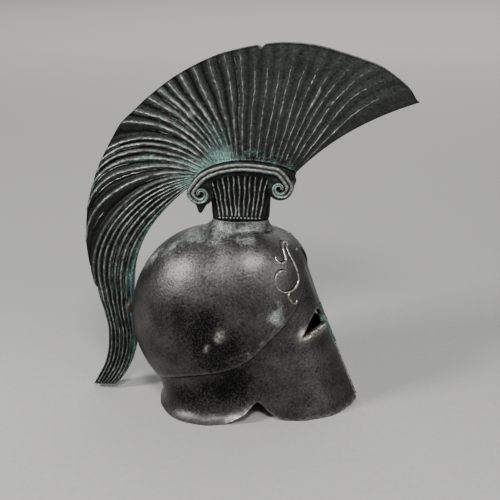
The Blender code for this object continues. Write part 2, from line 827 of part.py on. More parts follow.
def build():
    for obj in list(bpy.data.objects):
        bpy.data.objects.remove(obj, do_unlink=True)
    parts = bpy.data.collections.new("corinthian_helmet")
    cutters = bpy.data.collections.new("cutters")
    bpy.context.scene.collection.children.link(parts)
    bpy.context.scene.collection.children.link(cutters)

    bowl_bronze = new_material("bowl bronze", (0.060, 0.055, 0.049), 0.42, 0.85)
    nose_bronze = new_material("nose bronze", (0.030, 0.095, 0.085), 0.55, 0.60)
    stem_bronze = new_material("stem bronze", (0.040, 0.045, 0.040), 0.48, 0.80)
    band_bronze = new_material("band bronze", (0.140, 0.185, 0.155), 0.50, 0.65)
    plume_bronze = new_material("plume bronze", (0.045, 0.046, 0.042), 0.45, 0.80)

    shell = new_object("helmet_shell", shell_mesh(), parts, bowl_bronze)
    add_boolean(shell, new_cutter("face_slit", slit_mesh(), cutters), "DIFFERENCE")
    for name, side in (("left", 1), ("right", -1)):
        eye = new_cutter(f"eye_hole_{name}", eye_mesh(side), cutters)
        add_boolean(shell, eye, "DIFFERENCE")
        scroll = new_cutter(f"brow_scroll_{name}", scroll_mesh(side), cutters)
        add_boolean(shell, scroll, "UNION")

    new_object("nose_guard", nose_guard_mesh(), parts, nose_bronze)

    holder = new_object("crest_holder", stem_mesh(), parts, stem_bronze)
    add_boolean(holder, new_cutter("yoke", yoke_mesh(), cutters), "UNION")

    new_object("scroll_band_left", band_mesh(1), parts, band_bronze)
    new_object("scroll_band_right", band_mesh(-1), parts, band_bronze)
    new_object("crest_plume", plume_mesh(), parts, plume_bronze, sharp_angle=60.0)


build()
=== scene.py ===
# Looks of a small cast bronze corinthian helmet with a fan crest and a tail
# Sizes are in millimetres, and makeObject turns them into metres

import bisect
import functools
import math
from collections import namedtuple

import bmesh
import bpy
from mathutils import Matrix, Vector, noise


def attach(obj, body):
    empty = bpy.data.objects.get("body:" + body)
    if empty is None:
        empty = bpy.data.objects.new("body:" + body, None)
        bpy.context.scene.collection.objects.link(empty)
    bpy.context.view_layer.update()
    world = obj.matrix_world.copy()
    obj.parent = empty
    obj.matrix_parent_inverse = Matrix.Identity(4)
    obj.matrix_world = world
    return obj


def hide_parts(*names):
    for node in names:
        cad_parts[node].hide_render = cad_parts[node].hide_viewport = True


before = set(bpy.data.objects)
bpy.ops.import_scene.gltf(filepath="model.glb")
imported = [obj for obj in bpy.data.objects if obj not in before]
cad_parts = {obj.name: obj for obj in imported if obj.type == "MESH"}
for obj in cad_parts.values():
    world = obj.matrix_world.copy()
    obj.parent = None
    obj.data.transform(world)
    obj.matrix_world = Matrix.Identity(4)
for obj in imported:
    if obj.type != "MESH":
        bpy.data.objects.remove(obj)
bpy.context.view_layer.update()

metresPerMm = 0.001
tiny = 1e-9
# the marks are rubbed wear with painted highlights, dark grooves and pits with painted shade, verdigris, and
# line thickness
wearAndHighlightName, darkAndShadeName, greenName, thickName = "worn", "deep", "green", "thick"

# Small helpers

def blend(low, high, share):
    return low + (high - low) * share

def clamp(value, low=0.0, high=1.0):
    return max(low, min(high, value))

def smoothStep(low, high, value):
    share = clamp((value - low) / (high - low))
    return share * share * (3 - 2 * share)

def spaced(start, end, steps):
    return [blend(start, end, step / steps) for step in range(steps + 1)]

def bell(distance, width):
    return math.exp(-(distance / width) ** 2)

def rough(point, size, seed=0.0):
    return noise.noise(Vector(point) / size + Vector((seed * 7.3, seed * 3.1, seed * 5.7)))

def makeReader(rows, column, openEnds=False):
    # smooth curve without overshoot through one named column of a table
    keys = [row[0] for row in rows]
    values = [getattr(row, column) for row in rows]
    slopes = [(values[i + 1] - values[i]) / (keys[i + 1] - keys[i]) for i in range(len(keys) - 1)]
    tangents = [slopes[0] if openEnds else 0.0]
    for before, after in zip(slopes, slopes[1:]):
        tangents.append(2 * before * after / (before + after) if before * after > 0 else 0.0)
    tangents.append(slopes[-1] if openEnds else 0.0)

    def read(at):
        if at <= keys[0]:
            return values[0]
        if at >= keys[-1]:
            return values[-1]
        i = bisect.bisect_right(keys, at) - 1
        width = keys[i + 1] - keys[i]
        t = (at - keys[i]) / width
        start, end = tangents[i] * width, tangents[i + 1] * width
        return ((2 * t ** 3 - 3 * t ** 2 + 1) * values[i] + (t ** 3 - 2 * t ** 2 + t) * start
                + (3 * t ** 2 - 2 * t ** 3) * values[i + 1] + (t ** 3 - t ** 2) * end)

    return read

def smoothThrough(points, between):
    # Catmull-Rom curve with that many steps between two points
    curve = []
    last = len(points) - 1
    for index in range(last):
        before, start = points[max(index - 1, 0)], points[index]
        end, after = points[index + 1], points[min(index + 2, last)]
        for step in range(between):
            t = step / between
            curve.append(0.5 * (2 * start + (end - before) * t
                                + (2 * before - 5 * start + 4 * end - after) * t ** 2
                                + (3 * start - before - 3 * end + after) * t ** 3))
    curve.append(points[last])
    return curve

class Draft:
    # points in millimetres with their marks of rubbed wear and painted highlight, of dark and painted shade,
    # of verdigris and of thickness, and the faces between them
    def __init__(self):
        self.points, self.faces, self.edges = [], [], []
        self.marks = {wearAndHighlightName: [], darkAndShadeName: [], greenName: [], thickName: []}

    def add(self, point, worn=0.0, deep=0.0, green=0.0, thick=1.0):
        self.points.append(Vector(point))
        for name, value in zip(self.marks, (worn, deep, green, thick)):
            self.marks[name].append(value)
        return len(self.points) - 1

    def grid(self, rows, closed=False):
        for row, after in zip(rows, rows[1:]):
            pairs = list(zip(row, row[1:])) + ([(row[-1], row[0])] if closed else [])
            nexts = list(zip(after, after[1:])) + ([(after[-1], after[0])] if closed else [])
            for (a, b), (d, c) in zip(pairs, nexts):
                self.faces.append((a, b, c, d))

    def fan(self, ring, centre):
        for a, b in zip(ring, ring[1:] + ring[:1]):
            self.faces.append((a, b, centre))

    def chain(self, made):
        # edges along a line of points, for the node trees
        self.edges += list(zip(made, made[1:]))

def makeObject(words, draft, material=None):
    name = words.replace(" ", "_")
    mesh = bpy.data.meshes.new(name)
    mesh.from_pydata([point * metresPerMm for point in draft.points], draft.edges, draft.faces)
    for mark, values in draft.marks.items():
        mesh.attributes.new(mark, "FLOAT", "POINT").data.foreach_set("value", values)
    if draft.faces:
        mesh.shade_smooth()
    if material:
        mesh.materials.append(material)
    obj = bpy.data.objects.new(name, mesh)
    bpy.context.scene.collection.objects.link(obj)
    return obj

def roundEdges(obj, width, angle, segments=2):
    bevel = obj.modifiers.new("rounded edges", "BEVEL")
    bevel.width = width * metresPerMm
    bevel.segments = segments
    bevel.limit_method = "ANGLE"
    bevel.angle_limit = math.radians(angle)

def placePiece(obj, node):
    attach(obj, "root")
    if node:
        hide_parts(node)

# Node trees

def setSocket(tree, socket, value):
    # links another node's output, or sets a plain value
    if isinstance(value, bpy.types.NodeSocket):
        tree.links.new(value, socket)
    else:
        socket.default_value = value

def newTreeNode(tree, kind, settings=None, **inputs):
    node = tree.nodes.new(kind)
    for name, value in (settings or {}).items():
        setattr(node, name, value)
    for name, value in inputs.items():
        setSocket(tree, node.inputs[name.replace("_", " ")], value)
    return node

def newGroup(name, kind, takes, gives):
    # an empty node group with its labelled sockets
    tree = bpy.data.node_groups.new(name, kind)
    for sockets, way in ((takes, "INPUT"), (gives, "OUTPUT")):
        for label, socketKind in sockets:
            tree.interface.new_socket(label, in_out=way, socket_type=f"NodeSocket{socketKind}")
    return tree, tree.nodes.new("NodeGroupInput").outputs, tree.nodes.new("NodeGroupOutput").inputs

def makeRibTree():
    # a rounded rib or wire along every line of a mesh, as thick as the line's own mark says
    tree, given, out = newGroup(
        "ribs along lines", "GeometryNodeTree",
        [("Geometry", "Geometry"), ("Rib radius", "Float"), ("Rib sides", "Int"), ("Metal", "Material")],
        [("Geometry", "Geometry")])
    thick = newTreeNode(tree, "GeometryNodeInputNamedAttribute", {"data_type": "FLOAT"}, Name=thickName)
    curve = newTreeNode(tree, "GeometryNodeMeshToCurve", Mesh=given["Geometry"])
    section = newTreeNode(tree, "GeometryNodeCurvePrimitiveCircle", Resolution=given["Rib sides"],
                          Radius=given["Rib radius"])
    sweep = newTreeNode(tree, "GeometryNodeCurveToMesh", Curve=curve.outputs["Curve"],
                        Profile_Curve=section.outputs["Curve"], Scale=thick.outputs["Attribute"],
                        Fill_Caps=True)
    smooth = newTreeNode(tree, "GeometryNodeSetShadeSmooth", Geometry=sweep.outputs["Mesh"])
    real = newTreeNode(tree, "GeometryNodeRealizeInstances", Geometry=smooth.outputs["Geometry"])
    metal = newTreeNode(tree, "GeometryNodeSetMaterial", Geometry=real.outputs["Geometry"],
                        Material=given["Metal"])
    tree.links.new(metal.outputs["Geometry"], out["Geometry"])
    return tree

def makeBeadTree():
    # a bead on every point of a mesh, of slightly uneven size
    tree, given, out = newGroup(
        "beads on points", "GeometryNodeTree",
        [("Geometry", "Geometry"), ("Bead radius", "Float"), ("Least share", "Float"), ("Seed", "Int"),
         ("Metal", "Material")],
        [("Geometry", "Geometry")])
    points = newTreeNode(tree, "GeometryNodeMeshToPoints", Mesh=given["Geometry"])
    bead = newTreeNode(tree, "GeometryNodeMeshIcoSphere", Radius=given["Bead radius"], Subdivisions=3)
    share = newTreeNode(tree, "FunctionNodeRandomValue", {"data_type": "FLOAT"}, Seed=given["Seed"])
    tree.links.new(given["Least share"], share.inputs[2])
    share.inputs[3].default_value = 1.0
    copies = newTreeNode(tree, "GeometryNodeInstanceOnPoints", Points=points.outputs["Points"],
                         Instance=bead.outputs["Mesh"], Scale=share.outputs[1])
    real = newTreeNode(tree, "GeometryNodeRealizeInstances", Geometry=copies.outputs["Instances"])
    smooth = newTreeNode(tree, "GeometryNodeSetShadeSmooth", Geometry=real.outputs["Geometry"])
    metal = newTreeNode(tree, "GeometryNodeSetMaterial", Geometry=smooth.outputs["Geometry"],
                        Material=given["Metal"])
    tree.links.new(metal.outputs["Geometry"], out["Geometry"])
    return tree

def growFromTree(obj, tree, values):
    # runs a node tree on an object and keeps the result as its plain mesh
    modifier = obj.modifiers.new(tree.name, "NODES")
    modifier.node_group = tree
    sockets = {item.name: item.identifier for item in tree.interface.items_tree
               if item.item_type == "SOCKET" and item.in_out == "INPUT"}
    for name, value in values.items():
        modifier[sockets[name]] = value
    shape = obj.evaluated_get(bpy.context.evaluated_depsgraph_get())
    mesh = bpy.data.meshes.new_from_object(shape)
    obj.modifiers.remove(modifier)
    obj.data = mesh

# Metal, from three shared effects

NoiseRow = namedtuple("NoiseRow", "scale detail roughness")
# size and texture of each noise in the materials
noises = {
    "cloud": NoiseRow(95.0, 5.0, 0.62),
    "pit patch": NoiseRow(210.0, 2.0, 0.5),
    "rub and highlight breaks": NoiseRow(760.0, 5.0, 0.75),
    "crust patch": NoiseRow(260.0, 6.0, 0.68),
    "crumb": NoiseRow(1500.0, 3.0, 0.7),
    "stainAndShade": NoiseRow(1300.0, 5.0, 0.75),
    "paper": NoiseRow(420.0, 5.0, 0.7),
}

def mathNode(tree, operation, first, second, clampIt=False):
    node = newTreeNode(tree, "ShaderNodeMath", {"operation": operation, "use_clamp": clampIt})
    for socket, value in zip(node.inputs, (first, second)):
        setSocket(tree, socket, value)
    return node.outputs[0]

def noiseNode(tree, vector, row):
    node = newTreeNode(tree, "ShaderNodeTexNoise", Vector=vector, Scale=row.scale, Detail=row.detail,
                       Roughness=row.roughness)
    return node.outputs["Fac"]

def stretchNode(tree, value, low, high):
    # 0 at low and 1 at high, clamped
    node = newTreeNode(tree, "ShaderNodeMapRange", {"clamp": True})
    for socket, given in zip(node.inputs, (value, low, high)):
        setSocket(tree, socket, given)
    return node.outputs[0]

def mixNode(tree, factor, first, second):
    node = newTreeNode(tree, "ShaderNodeMix", {"data_type": "RGBA"})
    for socket, value in zip((node.inputs[0], node.inputs[6], node.inputs[7]), (factor, first, second)):
        setSocket(tree, socket, value)
    return node.outputs[2]

castLook = {"grainDetail": 3.0, "grainRoughness": 0.65, "pitReach": 0.36, "pitEdge": 7.0,
            "pitPatch": (0.40, 0.66), "tone": (0.33, 0.68)}

def makeCastGrain():
    # sand-cast skin: cloudy tone, fine grain and small dark pits
    tree, given, out = newGroup(
        "cast grain", "ShaderNodeTree",
        [("Place", "Vector"), ("Grain scale", "Float"), ("Cloud share", "Float"), ("Pit scale", "Float"),
         ("Pitting", "Float")],
        [("Tone", "Float"), ("Grain", "Float"), ("Pits", "Float"), ("Height", "Float")])
    place, cloudShare = given["Place"], given["Cloud share"]
    cloud = noiseNode(tree, place, noises["cloud"])
    grain = noiseNode(tree, place, NoiseRow(given["Grain scale"], castLook["grainDetail"],
                                            castLook["grainRoughness"]))
    tone = mathNode(tree, "ADD", mathNode(tree, "MULTIPLY", cloud, cloudShare),
                    mathNode(tree, "MULTIPLY", grain, mathNode(tree, "SUBTRACT", 1.0, cloudShare)))
    cells = newTreeNode(tree, "ShaderNodeTexVoronoi", {"feature": "F1"}, Vector=place,
                        Scale=given["Pit scale"], Randomness=1.0)
    inPit = mathNode(tree, "SUBTRACT", castLook["pitReach"], cells.outputs["Distance"])
    inPit = mathNode(tree, "MULTIPLY", inPit, castLook["pitEdge"], True)
    patch = stretchNode(tree, noiseNode(tree, place, noises["pit patch"]), *castLook["pitPatch"])
    pits = mathNode(tree, "MULTIPLY", mathNode(tree, "MULTIPLY", inPit, patch), given["Pitting"], True)
    tree.links.new(stretchNode(tree, tone, *castLook["tone"]), out["Tone"])
    tree.links.new(grain, out["Grain"])
    tree.links.new(pits, out["Pits"])
    tree.links.new(mathNode(tree, "SUBTRACT", grain, pits), out["Height"])
    return tree

rubAndHighlightLook = {"breaks": (0.40, 0.60), "least": 0.18}

def makeRubWearAndHighlight():
    # bright metal where hands rub the raised places, and painted highlights where edges and faces catch the
    # light, in broken patches
    tree, given, out = newGroup("rub wear and highlight", "ShaderNodeTree",
                                [("Place", "Vector"), ("Raised", "Float"), ("Amount", "Float")],
                                [("Mask", "Float")])
    breaks = stretchNode(tree, noiseNode(tree, given["Place"], noises["rub and highlight breaks"]), *rubAndHighlightLook["breaks"])
    held = mathNode(tree, "MULTIPLY", given["Raised"], given["Amount"])
    mask = mathNode(tree, "MULTIPLY", held, mathNode(tree, "ADD", breaks, rubAndHighlightLook["least"]), True)
    tree.links.new(mask, out["Mask"])
    return tree

crustLook = {"start": 0.92, "crumbMiddle": 0.5, "crumbShare": 0.5, "steepness": 1.9,
             "fadeIn": (0.02, 0.25), "crumbTones": (0.38, 0.62)}

def makeVerdigris():
    # pale green corrosion that gathers in patches and crumbles at their edges
    tree, given, out = newGroup(
        "verdigris", "ShaderNodeTree",
        [("Place", "Vector"), ("Where", "Float"), ("Everywhere", "Float"), ("Dark", "Color"),
         ("Pale", "Color")],
        [("Mask", "Float"), ("Color", "Color")])
    patch = noiseNode(tree, given["Place"], noises["crust patch"])
    crumb = noiseNode(tree, given["Place"], noises["crumb"])
    wanted = mathNode(tree, "ADD", given["Where"], given["Everywhere"])
    edge = mathNode(tree, "SUBTRACT", mathNode(tree, "ADD", wanted, patch), crustLook["start"])
    crumble = mathNode(tree, "SUBTRACT", crumb, crustLook["crumbMiddle"])
    edge = mathNode(tree, "ADD", edge, mathNode(tree, "MULTIPLY", crumble, crustLook["crumbShare"]))
    mask = mathNode(tree, "MULTIPLY", edge, crustLook["steepness"], True)
    mask = mathNode(tree, "MULTIPLY", mask, stretchNode(tree, wanted, *crustLook["fadeIn"]))
    tree.links.new(mask, out["Mask"])
    tones = stretchNode(tree, crumb, *crustLook["crumbTones"])
    tree.links.new(mixNode(tree, tones, given["Dark"], given["Pale"]), out["Color"])
    return tree

castGrain, rubWearAndHighlight, verdigris = makeCastGrain(), makeRubWearAndHighlight(), makeVerdigris()

skinLook = {"stainAndShade": (0.42, 0.57), "deepPitting": 0.8, "rubbedGloss": 0.14, "crustRoughness": 0.35,
            "crustCover": 0.85, "crustHeight": 0.6, "bumpDepth": 0.15}

def placeGroup(tree, group, **inputs):
    return newTreeNode(tree, "ShaderNodeGroup", {"node_tree": group}, **inputs).outputs

def makeBronze(name, metal):
    material = bpy.data.materials.new(name)
    material.use_nodes = True
    tree = material.node_tree
    shader = tree.nodes["Principled BSDF"]
    place = tree.nodes.new("ShaderNodeTexCoord").outputs["Object"]
    worn, deep, green = (newTreeNode(tree, "ShaderNodeAttribute", {"attribute_name": mark}).outputs["Fac"]
                         for mark in (wearAndHighlightName, darkAndShadeName, greenName))
    # stains, grooves and pits darken towards the groove colour, and so does the painted shade under the
    # ledge, in the neck and beside the scroll lines
    stainAndShade = stretchNode(tree, noiseNode(tree, place, noises["stainAndShade"]), *skinLook["stainAndShade"])
    stainAndShade = mathNode(tree, "MULTIPLY", deep, mathNode(tree, "ADD", stainAndShade, metal["grooveShade"]), True)
    pitting = mathNode(tree, "MULTIPLY", deep, skinLook["deepPitting"])
    pitting = mathNode(tree, "ADD", metal["pitting"], pitting)
    grain = placeGroup(tree, castGrain, Place=place, Grain_scale=metal["grainScale"],
                       Cloud_share=metal["cloudShare"], Pit_scale=metal["pitScale"], Pitting=pitting)
    rubbedAndLit = placeGroup(tree, rubWearAndHighlight, Place=place, Raised=worn, Amount=metal["wear"])["Mask"]
    crust = placeGroup(tree, verdigris, Place=place, Where=green, Everywhere=metal["greenAll"],
                       Dark=metal["greenDark"], Pale=metal["greenPale"])
    colour = mixNode(tree, grain["Tone"], metal["dark"], metal["light"])
    colour = mixNode(tree, stainAndShade, colour, metal["groove"])
    colour = mixNode(tree, grain["Pits"], colour, metal["groove"])
    # rubbed places and painted highlights turn to the bright colour
    colour = mixNode(tree, rubbedAndLit, colour, metal["bright"])
    greened = mathNode(tree, "MULTIPLY", crust["Mask"], metal["greenShare"], True)
    tree.links.new(mixNode(tree, greened, colour, crust["Color"]), shader.inputs["Base Color"])
    rubbedGloss = mathNode(tree, "MULTIPLY", rubbedAndLit, skinLook["rubbedGloss"])
    gloss = mathNode(tree, "SUBTRACT", metal["roughness"], rubbedGloss)
    gloss = mathNode(tree, "ADD", gloss, mathNode(tree, "MULTIPLY", grain["Grain"], metal["roughSpread"]))
    crustRoughness = mathNode(tree, "MULTIPLY", crust["Mask"], skinLook["crustRoughness"])
    tree.links.new(mathNode(tree, "ADD", gloss, crustRoughness, True), shader.inputs["Roughness"])
    covered = mathNode(tree, "MULTIPLY", crust["Mask"], skinLook["crustCover"] * metal["metallic"])
    tree.links.new(mathNode(tree, "SUBTRACT", metal["metallic"], covered, True), shader.inputs["Metallic"])
    crustHeight = mathNode(tree, "MULTIPLY", crust["Mask"], skinLook["crustHeight"])
    bump = newTreeNode(tree, "ShaderNodeBump", Height=mathNode(tree, "ADD", grain["Height"], crustHeight),
                       Strength=metal["bump"], Distance=skinLook["bumpDepth"] * metresPerMm)
    tree.links.new(bump.outputs["Normal"], shader.inputs["Normal"])
    return material

# groove is the near black of stains, pits and painted shade, and bright the colour of rubbed metal and of
# painted highlights
bowlMetal = {
    "dark": (0.016, 0.0155, 0.015, 1), "light": (0.098, 0.095, 0.089, 1),
    "groove": (0.003, 0.003, 0.003, 1), "bright": (0.34, 0.33, 0.29, 1),
    "greenDark": (0.090, 0.118, 0.102, 1), "greenPale": (0.36, 0.41, 0.36, 1),
    "grainScale": 1100.0, "pitScale": 440.0, "pitting": 0.35, "wear": 1.0, "greenAll": 0.0,
    "greenShare": 0.70, "grooveShade": 0.40, "cloudShare": 0.45, "roughness": 0.30,
    "roughSpread": 0.18, "metallic": 0.85, "bump": 0.7,
}
noseMetal = dict(
    bowlMetal, dark=(0.006, 0.016, 0.015, 1), light=(0.016, 0.042, 0.038, 1),
    greenDark=(0.008, 0.050, 0.046, 1), greenPale=(0.10, 0.25, 0.215, 1), greenAll=0.52,
    greenShare=1.0, roughness=0.55)
stemMetal = dict(
    bowlMetal, dark=(0.006, 0.007, 0.006, 1), light=(0.022, 0.024, 0.022, 1),
    bright=(0.27, 0.285, 0.26, 1), greenDark=(0.02, 0.10, 0.085, 1), greenPale=(0.24, 0.42, 0.35, 1),
    roughness=0.48, greenAll=0.14, pitting=0.2, grooveShade=0.8)
bandMetal = dict(
    stemMetal, dark=(0.022, 0.026, 0.023, 1), light=(0.070, 0.078, 0.070, 1),
    greenDark=(0.035, 0.17, 0.145, 1), greenPale=(0.36, 0.58, 0.50, 1), greenAll=0.26)
plumeMetal = dict(
    bowlMetal, dark=(0.006, 0.007, 0.0065, 1), light=(0.036, 0.038, 0.035, 1),
    bright=(0.27, 0.29, 0.27, 1), greenDark=(0.012, 0.085, 0.075, 1),
    greenPale=(0.20, 0.38, 0.32, 1), roughness=0.46, greenAll=0.12, pitting=0.55, bump=0.9,
    grooveShade=0.8)
ridgeMetal = dict(plumeMetal, dark=(0.018, 0.020, 0.019, 1), light=(0.060, 0.064, 0.060, 1),
                  pitting=0.7)
lugMetal = dict(bowlMetal, dark=(0.030, 0.023, 0.018, 1), light=(0.105, 0.082, 0.064, 1),
                roughness=0.60)

bowlBronze = makeBronze("bowl bronze", bowlMetal)
noseBronze = makeBronze("nose bronze", noseMetal)
stemBronze = makeBronze("stem bronze", stemMetal)
bandBronze = makeBronze("band bronze", bandMetal)
plumeBronze = makeBronze("plume bronze", plumeMetal)
ridgeBronze = makeBronze("plume ridge bronze", ridgeMetal)
lugBronze = makeBronze("lug bronze", lugMetal)
print("metals made")

# Bowl and mask, from the same sizes as the frame

bowl = {
    "axisX": -11.8, "front": 39.5, "back": 36.5, "side": 27.5, "middle": 37.0, "rise": 39.4,
    "frontSquareness": 2.0, "planSquareness": 0.15, "wall": 2.2, "ledgeStep": 0.8,
    "flareDepth": 7.6, "notchRise": 8.2,
    "bossX": -1.2, "bossHalfLength": 11.4, "bossHalfWidth": 6.4, "bossTop": 80.2,
    "bossFootHalfLength": 18.6, "bossFootHalfWidth": 11.5, "bossFootShift": 2.4,
    "bossWaistOut": 0.35, "bossWaistDown": 0.62,
    "bossRows": 10, "bowlRows": 42, "maskRows": 70,
    "dentSize": 13.0, "dentDepth": 0.05, "rippleSize": 2.6, "rippleDepth": 0.05,
    "bossWaveDepth": 0.35, "bossWaveSize": 3.2, "bossWaveFade": 0.6, "hollowTopLift": 88.0,
    "maskEase": 0.9, "spotRadius": 30.0, "bevel": 0.35, "bevelAngle": 60,
}
skullHeight = bowl["middle"] + bowl["rise"]

face = {
    "slitHalfWidth": 1.6, "eyeTop": 44.2, "eyeDrop": 12.4, "eyeLean": 35.0,
    "outlineRadius": 45.0,      # turns a step round the mask into millimetres
    "lipWidth": 1.6, "lipProud": 0.45, "lipStart": 5.0, "lipFull": 9.0,
    "nearTurn": 32.0, "nearLow": 22.0, "nearHigh": 52.0, "cutTurn": 30.0, "cutAbove": 4.0,
    "slitTurn": 6.0, "slitStart": 0.6, "cornerAcross": 2.0, "slitFoot": -5.0, "eyeSteps": 4,
    "leanReach": (5.0, 0.5), "leanTurns": (1.5, 6.0),
}

RimRow = namedtuple("RimRow", "turn reach rise pull place")
# lower rim round the helmet, with how far the side above it bends inward and where
rimRows = [
    RimRow(0, 1.498, 0.22, 0.10, 0.50),
    RimRow(4, 1.470, 0.16, 0.11, 0.50),
    RimRow(12, 1.398, 0.03, 0.13, 0.50),
    RimRow(18, 1.356, 0.00, 0.15, 0.50),
    RimRow(23, 1.285, 0.00, 0.16, 0.50),
    RimRow(28.5, 1.222, 0.00, 0.18, 0.50),
    RimRow(33, 1.140, 0.00, 0.20, 0.52),
    RimRow(37, 1.080, 0.08, 0.22, 0.55),
    RimRow(43, 0.985, 0.46, 0.22, 0.60),
    RimRow(46.5, 0.952, 0.84, 0.22, 0.64),
    RimRow(49.5, 0.925, 1.00, 0.24, 0.68),
    RimRow(53, 0.940, 0.89, 0.36, 0.72),
    RimRow(64, 1.030, 0.48, 0.70, 0.80),
    RimRow(79, 1.025, 0.07, 0.94, 0.84),
    RimRow(93, 1.055, 0.00, 1.00, 0.85),
    RimRow(109, 1.038, 0.00, 0.95, 0.85),
    RimRow(123, 0.982, 0.00, 0.78, 0.84),
    RimRow(144, 0.843, 0.00, 0.55, 0.82),
    RimRow(168, 0.729, 0.00, 0.36, 0.80),
    RimRow(180, 0.712, 0.00, 0.33, 0.80),
]

RidgeRow = namedtuple("RidgeRow", "turn height")
# top of the mask, height as a share of the bowl's own
ridgeRows = [
    RidgeRow(0, 0.895),
    RidgeRow(6, 0.840),
    RidgeRow(13, 0.745),
    RidgeRow(19, 0.660),
    RidgeRow(24, 0.607),
    RidgeRow(33, 0.536),
    RidgeRow(44, 0.463),
    RidgeRow(54, 0.392),
    RidgeRow(64, 0.345),
    RidgeRow(76, 0.310),
    RidgeRow(88, 0.288),
    RidgeRow(100, 0.274),
    RidgeRow(116, 0.250),
    RidgeRow(134, 0.213),
    RidgeRow(155, 0.166),
    RidgeRow(180, 0.137),
]

EyeRow = namedtuple("EyeRow", "turn down")
# one eye hole, from its inner corner over the top and back along its lower edge
eyeRows = [
    EyeRow(1.5, 0.42),
    EyeRow(3.6, 0.20),
    EyeRow(7.5, 0.06),
    EyeRow(11.8, 0.18),
    EyeRow(15.8, 0.36),
    EyeRow(19.0, 0.57),
    EyeRow(22.0, 0.78),
    EyeRow(19.2, 0.78),
    EyeRow(16.0, 0.73),
    EyeRow(11.2, 0.69),
    EyeRow(5.8, 0.68),
    EyeRow(1.5, 0.66),
]

ScrollRow = namedtuple("ScrollRow", "turn height thick")
# thick is the raised line's own thickness, nearly lost on the left of the lower spiral
scrollRows = [
    ScrollRow(29.1, 0.902, 0.7),
    ScrollRow(29.6, 0.881, 1.0),
    ScrollRow(27.2, 0.868, 1.0),
    ScrollRow(23.6, 0.874, 1.0),
    ScrollRow(21.6, 0.898, 1.0),
    ScrollRow(18.8, 0.930, 0.9),
    ScrollRow(13.6, 0.946, 1.0),
    ScrollRow(11.6, 0.940, 1.0),
    ScrollRow(15.4, 0.926, 0.9),
    ScrollRow(17.9, 0.898, 0.9),
    ScrollRow(18.4, 0.850, 1.0),
    ScrollRow(18.1, 0.805, 1.0),
    ScrollRow(18.9, 0.762, 1.0),
    ScrollRow(22.4, 0.731, 1.0),
    ScrollRow(27.5, 0.718, 0.9),
    ScrollRow(32.5, 0.732, 0.6),
    ScrollRow(35.3, 0.768, 0.45),
    ScrollRow(34.2, 0.808, 0.75),
    ScrollRow(30.6, 0.832, 0.95),
    ScrollRow(26.4, 0.829, 0.8),
]

# short curl under the scroll, and a nick beside its top
curlRows = [
    ScrollRow(27.2, 0.712, 0.5),
    ScrollRow(28.4, 0.694, 0.8),
    ScrollRow(27.2, 0.677, 1.0),
    ScrollRow(25.6, 0.654, 0.7),
    ScrollRow(22.8, 0.648, 0.9),
    ScrollRow(22.0, 0.663, 0.5),
]
nickRows = [
    ScrollRow(10.0, 0.899, 0.8),
    ScrollRow(6.8, 0.902, 0.5),
]

SpotRow = namedtuple("SpotRow", "turn height radius mark amount")
# stains, pits, worn places and verdigris, by turn round the bowl and height in millimetres, with painted
# shade low in the neck and a painted reflection among the green high on the back
spotRows = [
    SpotRow(79, 40.0, 1.9, wearAndHighlightName, 1.1),
    SpotRow(81, 38.4, 1.2, wearAndHighlightName, 0.9),
    SpotRow(90, 34.5, 1.0, wearAndHighlightName, 0.8),
    SpotRow(91, 33.0, 0.8, wearAndHighlightName, 0.7),
    SpotRow(88, 45.0, 6.0, darkAndShadeName, 0.58),
    SpotRow(102, 41.0, 8.5, darkAndShadeName, 0.56),
    SpotRow(76, 37.0, 7.5, darkAndShadeName, 0.54),
    SpotRow(88, 31.0, 9.0, darkAndShadeName, 0.60),
    # painted shade in the neck's waist under the overhanging bowl
    SpotRow(62, 17.0, 6.5, darkAndShadeName, 0.62),
    SpotRow(78, 16.0, 6.0, darkAndShadeName, 0.35),
    SpotRow(116, 47.0, 6.5, darkAndShadeName, 0.44),
    SpotRow(64, 31.0, 5.0, darkAndShadeName, 0.42),
    SpotRow(40, 73.0, 8.0, greenName, 0.38),
    SpotRow(80, 75.0, 8.0, greenName, 0.36),
    # verdigris high on the back, also painting the pale reflection along the bowl's outline
    SpotRow(152, 70.0, 4.0, greenName, 0.42),
    SpotRow(166, 65.0, 4.5, greenName, 0.48),
    SpotRow(176, 58.0, 4.5, greenName, 0.42),
    SpotRow(34, 42.0, 4.0, greenName, 0.34),
    SpotRow(48, 36.5, 3.0, greenName, 0.50),
    SpotRow(58, 31.0, 3.0, greenName, 0.52),
    SpotRow(33, 50.5, 4.5, greenName, 0.42),
    SpotRow(38, 46.0, 3.0, greenName, 0.40),
    # verdigris high on the back, also painting the pale reflection along the bowl's outline
    SpotRow(125, 72.0, 12.0, greenName, 0.30),
    SpotRow(160, 62.0, 12.0, greenName, 0.24),
    SpotRow(46, 45.0, 8.0, greenName, 0.26),
    SpotRow(30, 10.0, 7.0, greenName, 0.22),
    SpotRow(60, 24.0, 5.0, greenName, 0.26),
]

rimReach, rimRise, rimPull, rimPlace = (makeReader(rimRows, name)
                                        for name in ("reach", "rise", "pull", "place"))
ridgeHeight = makeReader(ridgeRows, "height")

def bowlReach(turn):
    along, aside = math.cos(math.radians(turn)), math.sin(math.radians(turn))
    power = 2.0 + bowl["planSquareness"] * max(0.0, along)
    total = (abs(along) / bowl["front" if along > 0 else "back"]) ** power
    total += (abs(aside) / bowl["side"]) ** power
    return total ** (-1.0 / power)

def squareness(turn):
    return 2.0 + bowl["frontSquareness"] * max(0.0, math.cos(math.radians(turn))) ** 2

def bowlPoint(turn, lift):
    angle, rise = math.radians(turn), math.radians(lift)
    power = 2.0 / squareness(turn)
    out = bowlReach(turn) * math.cos(rise) ** power
    up = bowl["middle"] + bowl["rise"] * math.copysign(abs(math.sin(rise)) ** power, rise)
    return Vector((bowl["axisX"] + out * math.cos(angle), out * math.sin(angle), up))

